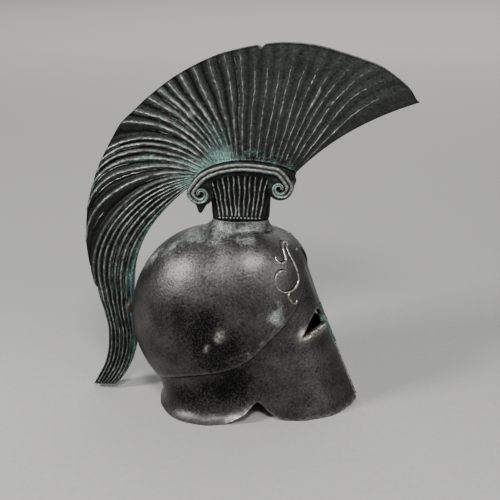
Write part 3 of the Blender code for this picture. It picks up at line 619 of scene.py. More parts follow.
def liftAtHeight(turn, height):
    share = (height - bowl["middle"]) / bowl["rise"]
    raised = abs(share) ** (squareness(turn) / 2.0)
    return math.degrees(math.copysign(math.asin(min(1.0, raised)), share))

def liftAtBossFoot(turn):
    angle = math.radians(turn)
    along = math.cos(angle) / bowl["bossFootHalfLength"]
    aside = math.sin(angle) / bowl["bossFootHalfWidth"]
    back = (bowl["axisX"] - bowl["bossX"] + bowl["bossFootShift"]) / bowl["bossFootHalfLength"]
    square, linear, rest = along ** 2 + aside ** 2, along * back, back ** 2 - 1.0
    out = (-linear + math.sqrt(linear ** 2 - square * rest)) / square
    return math.degrees(math.acos((out / bowlReach(turn)) ** (squareness(turn) / 2.0)))

def ridgeLift(turn):
    return liftAtHeight(turn, ridgeHeight(abs(turn)) * skullHeight)

@functools.lru_cache(maxsize=None)
def maskColumn(turn):
    # start, bend and end of the mask's curve from the ledge down to the rim
    angle, side = math.radians(turn), abs(turn)
    outward = Vector((math.cos(angle), math.sin(angle), 0.0))
    start = bowlPoint(turn, ridgeLift(turn)) - outward * bowl["ledgeStep"]
    end = Vector((bowl["axisX"], 0.0, rimRise(side) * bowl["notchRise"]))
    end += outward * rimReach(side) * bowlReach(turn)
    bend = start.lerp(end, rimPlace(side)) - outward * rimPull(side) * bowl["flareDepth"]
    return start, bend, end

def maskPoint(turn, drop):
    start, bend, end = maskColumn(turn)
    return start * (1 - drop) ** 2 + bend * 2 * drop * (1 - drop) + end * drop ** 2

def dropAtHeight(turn, height):
    low, high = 0.0, 1.0
    for _ in range(26):
        middle = (low + high) / 2
        if maskPoint(turn, middle).z > height:
            low = middle
        else:
            high = middle
    return low

def inward(surface, turn, along, spread):
    across = surface(turn + 1.0, along) - surface(turn - 1.0, along)
    down = surface(turn, along + spread) - surface(turn, along - spread)
    normal = across.cross(down).normalized()
    angle = math.radians(turn)
    outward = Vector((math.cos(angle), math.sin(angle), 0.0))
    return normal if normal.dot(outward) < 0 else -normal

def flatSpot(turn, height):
    # the mask rolled flat: millimetres round from the middle, and height
    return Vector((math.radians(turn) * face["outlineRadius"], height))

@functools.lru_cache(maxsize=None)
def faceOutline():
    # the eye and its half of the slit as one outline on the flat mask
    slitTurn = math.degrees(face["slitHalfWidth"] / face["outlineRadius"])
    curve = smoothThrough([flatSpot(row.turn, face["eyeTop"] - row.down * face["eyeDrop"])
                           for row in eyeRows], face["eyeSteps"])
    return curve + [flatSpot(slitTurn, curve[-1].y), flatSpot(slitTurn, face["slitFoot"]),
                    flatSpot(-slitTurn, face["slitFoot"]), flatSpot(-slitTurn, face["eyeTop"])]

def nearestOnOutline(spot):
    # signed distance, negative inside, and the nearest place on the outline
    outline = faceOutline()
    best, place, inside = math.inf, None, False
    for start, end in zip(outline, outline[1:] + outline[:1]):
        run = end - start
        share = clamp((spot - start).dot(run) / max(run.length_squared, tiny))
        touch = start + run * share
        distance = (spot - touch).length
        if distance < best:
            best, place = distance, touch
        if (start.y > spot.y) != (end.y > spot.y):
            crossing = start.x + (spot.y - start.y) / (end.y - start.y) * run.x
            inside ^= spot.x < crossing
    return (-best if inside else best), place

def slitTurnAt(height):
    # half angle of the slit at a height, where the mask is half a slit away from the middle
    turn = 2.0
    for _ in range(6):
        point = maskPoint(turn, dropAtHeight(turn, height))
        turn *= face["slitHalfWidth"] / max(abs(point.y), 0.1)
    return turn

def spotMarks(turn, height):
    marks = {wearAndHighlightName: 0.0, darkAndShadeName: 0.0, greenName: 0.0}
    for row in spotRows:
        around = math.radians(abs(turn) - row.turn) * bowl["spotRadius"]
        marks[row.mark] += row.amount * bell(math.hypot(around, height - row.height), row.radius)
    return marks

def bowlSkin(point, outward, strength=1.0):
    dent = rough(point, bowl["dentSize"], 1.0) * bowl["dentDepth"]
    ripple = rough(point, bowl["rippleSize"], 2.0) * bowl["rippleDepth"]
    return point + outward * (dent + ripple) * strength

BossRow = namedtuple("BossRow", "share fall")
# top of the boss, out to its rounded edge
bossRows = [BossRow(0.5, 0.0), BossRow(0.9, 0.0), BossRow(0.985, 0.12), BossRow(1.0, 0.45)]

CreaseRow = namedtuple("CreaseRow", "down width")
creaseRows = [CreaseRow(2.4, 0.5), CreaseRow(4.3, 0.4)]

LedgeRow = namedtuple("LedgeRow", "across sunk dark")
# step from the bowl in to the mask, with painted shadow on it under the bowl's edge
ledgeRows = [LedgeRow(0.25, 0.28, 0.3), LedgeRow(0.62, 0.42, 0.8), LedgeRow(0.92, 0.30, 1.0)]

TurnRow = namedtuple("TurnRow", "start end steps")
# columns of the shell's grid, closest together at the face
turnRows = [TurnRow(0, 27, 36), TurnRow(28.2, 60, 26), TurnRow(62, 180, 58)]

# wear and verdigris of the bowl, with a painted highlight along its edge over the ledge and painted shadow on
# the ledge step
bowlWearAndPaintedLight = {
    "bossGreen": 0.50, "bossWorn": 0.05, "creaseDark": 0.5, "topGreen": 0.34, "topReach": 0.10,
    "edge": (0.975, 1.0), "edgeGreen": 0.10, "edgeBright": 0.26, "edgeSmooth": 0.5, "topSmooth": 0.12,
    "lowDark": 0.30, "lowHeights": (58, 42), "cloudSize": 7.0, "cloudLeast": 0.7, "cloudShare": 1.3,
    "ledgeDark": 2.0, "ledgeTurns": (0.5, 11.0), "ledgeGreen": 0.12, "hollowDark": 0.6,
}

def bossRecord(turn, index, footLift):
    # skin, hollow and marks of one point of the boss, curved from its top down to the bowl
    angle = math.radians(turn)
    outward = Vector((math.cos(angle), math.sin(angle), 0.0))
    foot = bowlPoint(turn, footLift)
    top = bossRows[min(index, len(bossRows) - 1)]
    oval = Vector((bowl["bossHalfLength"] * outward.x, bowl["bossHalfWidth"] * outward.y, 0.0))
    point = Vector((bowl["bossX"], 0.0, bowl["bossTop"] - top.fall)) + oval * top.share
    if index >= len(bossRows):
        t = (index - len(bossRows) + 1) / (bowl["bossRows"] + 1)
        waist = point.lerp(foot, bowl["bossWaistOut"])
        waist.z = blend(point.z, foot.z, bowl["bossWaistDown"])
        bend = waist * 2 - (point + foot) * 0.5
        point = point * (1 - t) ** 2 + bend * 2 * t * (1 - t) + foot * t ** 2
    wave = bowl["bossWaveDepth"] * rough(point, bowl["bossWaveSize"], 3.0)
    point += outward * wave * smoothStep(0.0, bowl["bossWaveFade"], bowl["bossTop"] - point.z)
    lift = blend(bowl["hollowTopLift"], footLift, index / (len(bossRows) + bowl["bossRows"]))
    hollow = bowlPoint(turn, lift) + inward(bowlPoint, turn, lift, 1.0) * bowl["wall"]
    creases = sum(bell(point.z - bowl["bossTop"] + row.down, row.width) for row in creaseRows)
    return point, hollow, {greenName: bowlWearAndPaintedLight["bossGreen"], wearAndHighlightName: bowlWearAndPaintedLight["bossWorn"],
                           darkAndShadeName: bowlWearAndPaintedLight["creaseDark"] * creases}

def bowlRecord(turn, share, footLift, edgeLift):
    lift = blend(footLift, edgeLift, share)
    into = inward(bowlPoint, turn, lift, 1.0)
    plain = bowlPoint(turn, lift)
    edge = smoothStep(*bowlWearAndPaintedLight["edge"], share)
    cloud = bowlWearAndPaintedLight["cloudLeast"] + bowlWearAndPaintedLight["cloudShare"] * rough(plain, bowlWearAndPaintedLight["cloudSize"], 23.0)
    marks = spotMarks(turn, plain.z)
    marks[greenName] += bowlWearAndPaintedLight["topGreen"] * bell(share, bowlWearAndPaintedLight["topReach"])
    marks[greenName] += bowlWearAndPaintedLight["edgeGreen"] * edge
    # painted highlight along the bowl's edge where it stands proud of the ledge
    marks[wearAndHighlightName] += bowlWearAndPaintedLight["edgeBright"] * edge
    marks[darkAndShadeName] += bowlWearAndPaintedLight["lowDark"] * smoothStep(*bowlWearAndPaintedLight["lowHeights"], plain.z) * cloud
    strength = smoothStep(0.0, bowlWearAndPaintedLight["topSmooth"], share) * (1 - bowlWearAndPaintedLight["edgeSmooth"] * edge)
    return bowlSkin(plain, -into, strength), plain + into * bowl["wall"], marks

def ledgeRecord(turn, row, edgeLift):
    point = bowlPoint(turn, edgeLift).lerp(maskPoint(turn, 0.0), row.across)
    point.z -= row.sunk
    hollow = point + inward(maskPoint, turn, 0.03, 0.02) * bowl["wall"]
    # painted shadow on the step, faded out at the very front
    dark = bowlWearAndPaintedLight["ledgeDark"] * row.dark * smoothStep(*bowlWearAndPaintedLight["ledgeTurns"], abs(turn))
    return point, hollow, {darkAndShadeName: dark, greenName: bowlWearAndPaintedLight["ledgeGreen"]}

# wear and verdigris of the mask, with painted shadow under the ledge, painted shade in the neck's waist and
# painted highlights on the neck's flare and the eye's lower lip
maskWearAndPaintedLight = {
    "ledgeDark": 1.6, "ledgeDarkDown": 0.3, "ledgeDarkWidth": 0.6, "ledgeDarkTurns": (3.0, 13.0),
    "ledgeGreen": 0.25, "ledgeGreenDown": 1.0, "ledgeGreenWidth": 1.2, "ledgeGreenTurns": (20, 50),
    "neckTurns": (52, 75), "neckDark": 0.7, "neckDarkDrop": 0.34, "neckDarkWidth": 0.26,
    "neckFlareHighlight": 0.12, "neckFlareHighlightDrops": (0.72, 0.90), "rim": (0.95, 1.0), "rimWorn": 0.35,
    "cheekTurns": (52, 40), "cheekDark": 0.25, "cheekDarkWidth": 0.06, "lipHighlight": 1.2, "lipGreen": 0.32,
    "allDark": 0.22, "cloudDark": 0.5, "cloudSize": 8.0, "cutWorn": 0.5, "wallWorn": 0.2,
}

def ledgeStretch(side):
    # how much wider the painted shadow under the ledge looks where the ledge runs steeply
    climb = abs(ridgeHeight(side + 1.0) - ridgeHeight(max(side - 1.0, 0.0))) * skullHeight / 2
    return math.hypot(1.0, climb / math.radians(bowlReach(side)))

def maskMarks(turn, drop, plain, lip):
    side = abs(turn)
    below = maskPoint(turn, 0.0).z - plain.z
    neck = smoothStep(*maskWearAndPaintedLight["neckTurns"], side)
    # painted shadow under the ledge
    under = smoothStep(*maskWearAndPaintedLight["ledgeDarkTurns"], side) * bell(
        below - maskWearAndPaintedLight["ledgeDarkDown"], maskWearAndPaintedLight["ledgeDarkWidth"] * ledgeStretch(side))
    marks = spotMarks(turn, plain.z)
    # painted shade in the neck's waist under the overhanging bowl
    marks[darkAndShadeName] += maskWearAndPaintedLight["neckDark"] * neck * bell(drop - maskWearAndPaintedLight["neckDarkDrop"],
                                                          maskWearAndPaintedLight["neckDarkWidth"])
    marks[darkAndShadeName] += maskWearAndPaintedLight["ledgeDark"] * under
    marks[darkAndShadeName] += (maskWearAndPaintedLight["cheekDark"] * smoothStep(*maskWearAndPaintedLight["cheekTurns"], side)
                        * bell(drop - 1.0, maskWearAndPaintedLight["cheekDarkWidth"]))
    marks[darkAndShadeName] += maskWearAndPaintedLight["allDark"] + maskWearAndPaintedLight["cloudDark"] * rough(plain, maskWearAndPaintedLight["cloudSize"], 22.0)
    # rubbed rim, and a painted highlight along the eye's lower lip
    marks[wearAndHighlightName] += maskWearAndPaintedLight["rimWorn"] * smoothStep(*maskWearAndPaintedLight["rim"], drop) + maskWearAndPaintedLight["lipHighlight"] * lip
    # painted highlight on the upward face of the neck's flare
    marks[wearAndHighlightName] += maskWearAndPaintedLight["neckFlareHighlight"] * neck * smoothStep(*maskWearAndPaintedLight["neckFlareHighlightDrops"], drop)
    marks[greenName] += maskWearAndPaintedLight["lipGreen"] * lip
    marks[greenName] += (maskWearAndPaintedLight["ledgeGreen"] * smoothStep(*maskWearAndPaintedLight["ledgeGreenTurns"], side)
                         * bell(below - maskWearAndPaintedLight["ledgeGreenDown"], maskWearAndPaintedLight["ledgeGreenWidth"]))
    return marks

def maskRecord(turn, drop, plain):
    # skin, hollow and marks of one point of the mask, whose wall leans to follow the eye's edge
    into = inward(maskPoint, turn, min(drop, 0.98), 0.02)
    inside = Vector(into)
    inside.z *= 1.0 - drop ** 2
    lip = 0.0
    if abs(turn) < face["nearTurn"] and face["nearLow"] < plain.z < face["nearHigh"]:
        away, place = nearestOnOutline(flatSpot(abs(turn), plain.z))
        if away >= 0 and place.x > face["cornerAcross"]:
            lip = bell(away, face["lipWidth"]) * smoothStep(
                face["eyeTop"] - face["lipStart"], face["eyeTop"] - face["lipFull"], place.y)
        weight = smoothStep(*face["leanReach"], max(0.0, away)) * smoothStep(*face["leanTurns"], abs(turn))
        lean = math.copysign(math.radians(face["eyeLean"]), turn)
        inside = inside.normalized().lerp(Vector((-math.cos(lean), -math.sin(lean), 0.0)), weight)
    smooth = 1.0 - smoothStep(*maskWearAndPaintedLight["rim"], drop)
    skin = bowlSkin(plain, -into, smooth) - into * (face["lipProud"] * lip)
    skin.z = max(skin.z, 0.0) if drop < 1.0 else plain.z
    return skin, plain + inside.normalized() * bowl["wall"], maskMarks(turn, drop, plain, lip)

MaskSpot = namedtuple("MaskSpot", "turn drop point")

def buildShell():
    half = [turn for row in turnRows for turn in spaced(*row)]
    turns = half + [-turn for turn in reversed(half[1:-1])]
    footLifts = {turn: liftAtBossFoot(turn) for turn in turns}
    edgeLifts = {turn: ridgeLift(turn) for turn in turns}
    outer, inner, maskGrid = Draft(), Draft(), {}
    outRows, inRows = [], []

    def addRow(records):
        outRows.append([outer.add(skin, **marks) for skin, _, marks in records])
        inRows.append([inner.add(hollow, deep=bowlWearAndPaintedLight["hollowDark"]) for _, hollow, _ in records])

    for index in range(len(bossRows) + bowl["bossRows"]):
        addRow([bossRecord(turn, index, footLifts[turn]) for turn in turns])
    for share in spaced(0.0, 1.0, bowl["bowlRows"]):
        addRow([bowlRecord(turn, share, footLifts[turn], edgeLifts[turn]) for turn in turns])
    for row in ledgeRows:
        addRow([ledgeRecord(turn, row, edgeLifts[turn]) for turn in turns])
    for share in spaced(0.0, 1.0, bowl["maskRows"])[1:]:
        drop = share ** bowl["maskEase"]
        spots = [MaskSpot(turn, drop, maskPoint(turn, drop)) for turn in turns]
        maskGrid.update({(len(outRows), column): spot for column, spot in enumerate(spots)})
        addRow([maskRecord(*spot) for spot in spots])
    gone = cutFaces(outer, inner, outRows, inRows, maskGrid)
    return joinShell(outer, inner, outRows, inRows, gone)

CutSign = namedtuple("CutSign", "sign away place")

def cutSign(spot):
    # 1 outside the holes and -1 inside them, with the distance and place of their edge
    turn, height = abs(spot.turn), spot.point.z
    if turn > face["cutTurn"] or height > face["eyeTop"] + face["cutAbove"]:
        return CutSign(1.0, 9.0, None)
    away, place = nearestOnOutline(flatSpot(turn, height))
    if height < face["eyeTop"] - face["slitStart"] * face["eyeDrop"] and turn < face["slitTurn"]:
        gap = math.radians(turn - slitTurnAt(height)) * face["outlineRadius"]
        if away >= 0 or gap <= 0 or place.x <= face["cornerAcross"]:
            away, place = gap, None
    return CutSign(math.copysign(1.0, away), abs(away), place)

def cutFaces(outer, inner, outRows, inRows, maskGrid):
    # moves grid points onto the edges of eyes and slit, and gives the faces to leave out
    signs = {key: cutSign(spot) for key, spot in maskGrid.items()}
    count = len(outRows[0])
    moved = set()
    for (row, column), own in signs.items():
        for other in ((row, (column + 1) % count), (row + 1, column)):
            if other in signs and signs[other].sign != own.sign:
                moved.add((row, column) if own.away <= signs[other].away else other)
    for row, column in moved:
        spot, place = maskGrid[row, column], signs[row, column].place
        if place is None:
            turn, height = slitTurnAt(spot.point.z), spot.point.z
        else:
            turn, height = math.degrees(place.x / face["outlineRadius"]), place.y
        turn = math.copysign(1.0, spot.turn) * turn
        drop = dropAtHeight(turn, height)
        skin, hollow, _ = maskRecord(turn, drop, maskPoint(turn, drop))
        outer.points[outRows[row][column]] = skin
        inner.points[inRows[row][column]] = hollow
        outer.marks[wearAndHighlightName][outRows[row][column]] += maskWearAndPaintedLight["cutWorn"]
    states = {key: 0 if key in moved else own.sign for key, own in signs.items()}
    gone = {}
    for row, column in maskGrid:
        corners = [(row, column), (row, (column + 1) % count),
                   (row + 1, (column + 1) % count), (row + 1, column)]
        if corners[-1] not in maskGrid:
            continue
        kinds = [states[corner] for corner in corners]
        if min(kinds) < 0:
            kept = [corner for corner, kind in zip(corners, kinds) if kind >= 0]
            gone[row, column] = kept if max(kinds) > 0 and len(kept) == 3 else []
        elif max(kinds) == 0:
            spots = [flatSpot(abs(maskGrid[corner].turn), maskGrid[corner].point.z) for corner in corners]
            if nearestOnOutline(sum(spots, Vector((0, 0))) / 4)[0] < 0:
                gone[row, column] = []
    return gone

def joinShell(outer, inner, outRows, inRows, gone):
    # skin and hollow with a wall along every open border
    count = len(outRows[0])
    shell = Draft()
    for draft in (outer, inner):
        for index, point in enumerate(draft.points):
            shell.add(point, *(draft.marks[name][index] for name in draft.marks))
    shift = len(outer.points)
    kept = []
    for row in range(len(outRows) - 1):
        for column in range(count):
            onward = (column + 1) % count
            whole = [(row, column), (row, onward), (row + 1, onward), (row + 1, column)]
            corners = gone.get((row, column), whole)
            if corners:
                kept.append([outRows[r][c] for r, c in corners])
    pole = shell.add((bowl["bossX"], 0.0, bowl["bossTop"]), green=0.4)
    hollowPole = shell.add((bowl["axisX"], 0.0, skullHeight - bowl["wall"]))
    shell.faces += [list(reversed(corners)) for corners in kept]
    shell.faces += [[corner + shift for corner in corners] for corners in kept]
    for a, b in zip(outRows[0], outRows[0][1:] + outRows[0][:1]):
        shell.faces.append((a, b, pole))
        shell.faces.append((b + shift, a + shift, hollowPole))
    edges = {edge for corners in kept for edge in zip(corners, corners[1:] + corners[:1])}
    crown = set(outRows[0])
    for a, b in sorted(edges):
        if (b, a) not in edges and not (a in crown and b in crown):
            shell.faces.append((a, b, b + shift, a + shift))
            shell.marks[wearAndHighlightName][a] += maskWearAndPaintedLight["wallWorn"]
    return shell

def dropLoosePoints(obj):
    bm = bmesh.new()
    bm.from_mesh(obj.data)
    for vertex in [vertex for vertex in bm.verts if not vertex.link_faces]:
        bm.verts.remove(vertex)
    bm.to_mesh(obj.data)
    bm.free()

shellObject = makeObject("helmet bowl and mask", buildShell(), bowlBronze)
dropLoosePoints(shellObject)
roundEdges(shellObject, bowl["bevel"], bowl["bevelAngle"])
placePiece(shellObject, "helmet_shell")
print("bowl made", len(shellObject.data.polygons), "faces")

ribTree, beadTree = makeRibTree(), makeBeadTree()

scroll = {"radius": 0.54, "cutTurn": 0.8, "steps": 7, "sides": 8, "uneven": 0.25, "unevenSize": 1.4}

LineRow = namedtuple("LineRow", "lift sink worn deep width")
# raised line, painted bright for wear and as its highlight, and beside it a line that sits deeper in the
# metal and is painted dark as its shadow
scrollLines = [
    LineRow(0.00, 0.12, 1.0, 0.0, 1.0),
    LineRow(0.75, 0.26, 0.0, 2.0, 0.7),
]

def buildScroll(side):
    draft = Draft()
    for rows in (scrollRows, curlRows, nickRows):
        knots = smoothThrough([Vector((row.turn, row.height * skullHeight, row.thick)) for row in rows],
                              scroll["steps"])
        for line in scrollLines:
            made = []
            for knot in knots:
                turn = side * (knot.x + line.lift * scroll["cutTurn"])
                rise = liftAtHeight(turn, knot.y + line.lift)
                into = inward(bowlPoint, turn, rise, 1.0)
                point = bowlSkin(bowlPoint(turn, rise), -into) + into * line.sink
                thick = line.width * knot.z * (1 + scroll["uneven"] * rough(point, scroll["unevenSize"], 4.0))
                made.append(draft.add(point, worn=line.worn, deep=line.deep, thick=thick))
            draft.chain(made)
    return draft

for side, sideName in ((1, "left"), (-1, "right")):
    wire = makeObject(f"brow scroll {sideName}", buildScroll(side))
    growFromTree(wire, ribTree, {"Rib radius": scroll["radius"] * metresPerMm,
                                 "Rib sides": scroll["sides"], "Metal": bowlBronze})
    placePiece(wire, None)
print("brow scrolls made")

nose = {"length": 17.0, "proud": 0.45, "gap": 0.3, "stations": 40, "waver": 0.04, "waverSize": 2.0,
        "dentDepth": 0.16, "dentSize": 1.8, "worn": 0.35, "wornAt": 0.42, "wornReach": 0.10,
        "edgeBright": 0.4, "edgeAt": 0.62, "edgeReach": 0.3, "green": 0.10, "greenCloud": 0.25,
        "cloudSize": 3.0, "bevel": 0.22, "bevelAngle": 50}

NoseRow = namedtuple("NoseRow", "across back")
# section of the strip, from one edge over its raised middle to the other
noseRows = [
    NoseRow(-1.0, 2.8),
    NoseRow(-1.0, 0.9),
    NoseRow(-0.62, 0.3),
    NoseRow(-0.3, 0.04),
    NoseRow(0.0, 0.0),
    NoseRow(0.3, 0.04),
    NoseRow(0.62, 0.3),
    NoseRow(1.0, 0.9),
    NoseRow(1.0, 2.8),
]

def buildNose():
    draft = Draft()
    half = face["slitHalfWidth"] - nose["gap"]
    rings = []
    for share in spaced(0.0, 1.0, nose["stations"]):
        height = face["eyeTop"] - nose["gap"] - nose["length"] * share
        front = maskPoint(0.0, dropAtHeight(0.0, height)).x + nose["proud"]
        ring = []
        for row in noseRows:
            waver = 1 - nose["waver"] * rough((0, row.across, height), nose["waverSize"])
            point = Vector((front - row.back, row.across * half * waver, height))
            point.x += nose["dentDepth"] * rough(point, nose["dentSize"], 5.0)
            bright = bell(share - nose["wornAt"], nose["wornReach"])
            bright += nose["edgeBright"] * bell(abs(row.across) - nose["edgeAt"], nose["edgeReach"])
            green = nose["green"] + nose["greenCloud"] * rough(point, nose["cloudSize"], 6.0)
            ring.append(draft.add(point, worn=nose["worn"] * bright, green=green))
        rings.append(ring)
    draft.grid(rings, closed=True)
    draft.faces.append(tuple(rings[0]))
    draft.faces.append(tuple(reversed(rings[-1])))
    return draft

noseObject = makeObject("nose guard strip", buildNose(), noseBronze)
roundEdges(noseObject, nose["bevel"], nose["bevelAngle"])
placePiece(noseObject, "nose_guard")
print("nose guard made")

# Crest holder: fluted stem, yoke and scroll bands

holder = {
    "stemTopHalf": 3.9, "stemFootHalf": 5.2, "stemBack": 11.0, "stemFront": 11.6, "stemFlare": 1.6,
    "stemHeight": 19.5, "stemWaist": 0.3, "stemEdgePinch": 0.55, "pinchPower": 7, "stemRows": 44,
    "stemColumns": 132, "flutes": 11, "fluteDepth": 0.30, "fluteRadius": 0.30, "fluteSides": 8,
    "fluteSpan": (0.09, 0.97), "fluteSteps": 30, "fluteFade": 0.16, "fluteEnd": 0.35,
    "fluteSway": 0.45, "fluteSwaySize": 4.0, "fluteUneven": 0.5, "fluteUnevenSize": 1.3,
    "footCrowding": 0.76, "beadRadius": 0.55, "beadHeight": 0.05, "beadLeast": 0.8, "beadSeed": 4,
    "gap": 0.3, "yokeHalf": 4.6, "yokeDepth": 5.6, "yokeX": 1.2, "yokeBevel": 0.55,
    "yokeBevelAngle": 40, "yokeBevelSteps": 3, "archBack": 21.8, "archFront": 26.0,
    "archSpring": 92.5, "archRise": 12.0, "lobeRadius": 5.2, "backVolute": (-17.5, -1.1),
    "frontVolute": (14.2, 1.7), "sprueLength": 3.2, "sprueAngle": 266, "sprueSpread": 13.0,
}

holderWear = {
    "stemDark": 0.85, "stemLeastDark": 0.15, "stemGreen": 0.1, "yokeDark": 0.3, "yokeGreen": 0.22,
    "fluteWorn": 0.75, "flutePatches": 0.6, "flutePatchSize": 2.6, "beadWorn": 0.8,
    "bandWorn": 0.75, "bandGreen": 0.18, "curlGreen": 0.30, "curlGreenFrom": (0.02, 0.5),
    "grooveWidth": 0.22, "borderDark": 0.6, "borderWidth": 0.12,
}

bands = {"width": 3.7, "height": 1.5, "endWidth": 1.4, "endHeight": 1.2, "archFrom": 56.0,
         "archTo": 150.0, "archSteps": 8, "taper": 1.6, "radius": 3.9, "turn": 400.0, "ease": 1.25,
         "eye": 0.9, "frontStart": 25.0, "backStart": 165.0, "curlSteps": 60, "curlEvery": 5,
         "pathSteps": 7, "sections": 16, "filletFloor": 0.12, "waver": 0.10, "waverSizes": (1.6, 2.4)}

ArcRow = namedtuple("ArcRow", "start end steps")
# runs of the yoke's outline, in degrees round the arch or round its lobe
archTop, archUnder = ArcRow(38, 174, 60), ArcRow(138, 66, 24)
backLobe, frontLobe = ArcRow(185, 344, 40), ArcRow(200, 375, 40)

def archPoint(degrees, out=0.0):
    angle = math.radians(degrees)
    reach = holder["archFront" if math.cos(angle) > 0 else "archBack"]
    normal = Vector((math.cos(angle) / reach, 0.0, math.sin(angle) / holder["archRise"])).normalized()
    return Vector((holder["yokeX"] + reach * math.cos(angle), 0.0,
                   holder["archSpring"] + holder["archRise"] * math.sin(angle))) + normal * out

def voluteCentre(offset):
    return Vector((holder["yokeX"] + offset[0], 0.0, holder["archSpring"] + offset[1]))

def roundPoint(centre, radius, degrees):
    angle = math.radians(degrees)
    return centre + Vector((radius * math.cos(angle), 0.0, radius * math.sin(angle)))

def yokeOutline():
    back, front = voluteCentre(holder["backVolute"]), voluteCentre(holder["frontVolute"])
    points = [archPoint(angle) for angle in spaced(*archTop)]
    for angle in spaced(*backLobe):
        stub = holder["sprueLength"] * bell(angle - holder["sprueAngle"], holder["sprueSpread"])
        points.append(roundPoint(back, holder["lobeRadius"] + stub, angle))
    points += [archPoint(angle, -holder["yokeDepth"]) for angle in spaced(*archUnder)]
    points += [roundPoint(front, holder["lobeRadius"], angle) for angle in spaced(*frontLobe)]
    return points

def stemPlace(across, share, side):
    # point of the stem's skin, across 0 at the back and 1 at the front
    foot = bowl["bossTop"] + holder["gap"]
    flare = holder["stemFlare"] * share
    half = blend(holder["stemFootHalf"], holder["stemTopHalf"], min(1.0, share / holder["stemWaist"]))
    rounded = 1 - holder["stemEdgePinch"] * abs(2 * across - 1) ** holder["pinchPower"]
    x = bowl["bossX"] + blend(-holder["stemBack"] - flare, holder["stemFront"] + flare, across)
    return Vector((x, side * half * rounded, foot + holder["stemHeight"] * share))

def crowding(share):
    # flutes stand closer at the stem's foot than at its top
    return blend(holder["footCrowding"], 1.0, share)

def buildStem():
    draft = Draft()
    rows = []
    for share in spaced(0.0, 1.0, holder["stemRows"]):
        skin = [(across, stemPlace(across, share, -1)) for across in spaced(0.0, 1.0, holder["stemColumns"])]
        ring = []
        for side, run in ((1, skin), (-1, list(reversed(skin)))):
            for across, point in run:
                flute = (0.5 + (across - 0.5) / crowding(share)) * holder["flutes"]
                groove = 0.5 + 0.5 * math.cos(2 * math.pi * flute)
                spot = Vector((point.x, side * (point.y + holder["fluteDepth"] * groove), point.z))
                dark = holderWear["stemDark"] * groove + holderWear["stemLeastDark"]
                ring.append(draft.add(spot, deep=dark, green=holderWear["stemGreen"]))
        rows.append(ring)
    draft.grid(rows, closed=True)
    draft.faces.append(tuple(reversed(rows[0])))
    draft.faces.append(tuple(rows[-1]))
    return draft

def buildYoke():
    # the yoke's outline extruded to its thickness
    draft = Draft()
    rings = [[draft.add((point.x, y, point.z), deep=holderWear["yokeDark"], green=holderWear["yokeGreen"])
              for point in yokeOutline()] for y in (-holder["yokeHalf"], holder["yokeHalf"])]
    draft.grid(rings, closed=True)
    draft.faces.append(tuple(reversed(rings[0])))
    draft.faces.append(tuple(rings[1]))
    return draft

def buildFlutes():
    draft = Draft()
    low, high = holder["fluteSpan"]
    for side in (-1, 1):
        for index in range(holder["flutes"]):
            line = []
            for share in spaced(low, high, holder["fluteSteps"]):
                across = 0.5 + ((index + 0.5) / holder["flutes"] - 0.5) * crowding(share)
                point = stemPlace(across, share, side)
                point.x += holder["fluteSway"] * rough(point, holder["fluteSwaySize"], 8.0 + index)
                patches = rough(point, holderWear["flutePatchSize"], 9.5)
                thick = blend(holder["fluteEnd"], 1.0, smoothStep(0.0, holder["fluteFade"], high - share))
                thick *= 1.0 + holder["fluteUneven"] * rough(point, holder["fluteUnevenSize"], 9.0)
                line.append(draft.add(point, thick=thick, worn=holderWear["fluteWorn"]
                                      + holderWear["flutePatches"] * patches))
            draft.chain(line)
    return draft

def buildBeads():
    draft = Draft()
    height, count = holder["beadHeight"], holder["flutes"] + 1
    for side in (-1, 1):
        for index in range(count):
            across = 0.5 + ((index + 0.5) / count - 0.5) * crowding(height)
            draft.add(stemPlace(across, height, side), worn=holderWear["beadWorn"])
    return draft

def voluteCurl(offset, startAngle, sense):
    # inward spiral, with how far along it each point is
    curl = []
    for share in spaced(0.0, 1.0, bands["curlSteps"]):
        radius = bands["eye"] + (bands["radius"] - bands["eye"]) * (1 - share) ** bands["ease"]
        angle = startAngle + sense * bands["turn"] * share
        curl.append((roundPoint(voluteCentre(offset), radius, angle), share))
    return curl[::bands["curlEvery"]]

def bandPath():
    # front volute from its eye outwards, the arch, and the back volute into its eye
    knots = voluteCurl(holder["frontVolute"], bands["frontStart"], -1)[::-1]
    knots += [(archPoint(angle, -bands["width"] / 2), 0.0)
              for angle in spaced(bands["archFrom"], bands["archTo"], bands["archSteps"])]
    knots += voluteCurl(holder["backVolute"], bands["backStart"], 1)
    middle = smoothThrough([point for point, _ in knots], bands["pathSteps"])
    curls = smoothThrough([Vector((curl, 0.0, 0.0)) for _, curl in knots], bands["pathSteps"])
    return [(point, clamp(curl.x)) for point, curl in zip(middle, curls)]

def filletRise(across):
    # two rounded fillets with a groove between them, across from -1 to 1
    hump = math.sqrt(max(0.0, 1 - (2 * abs(abs(across) - 0.5)) ** 2))
    return blend(bands["filletFloor"], 1.0, hump) if abs(across) < 1.0 - tiny else 0.0

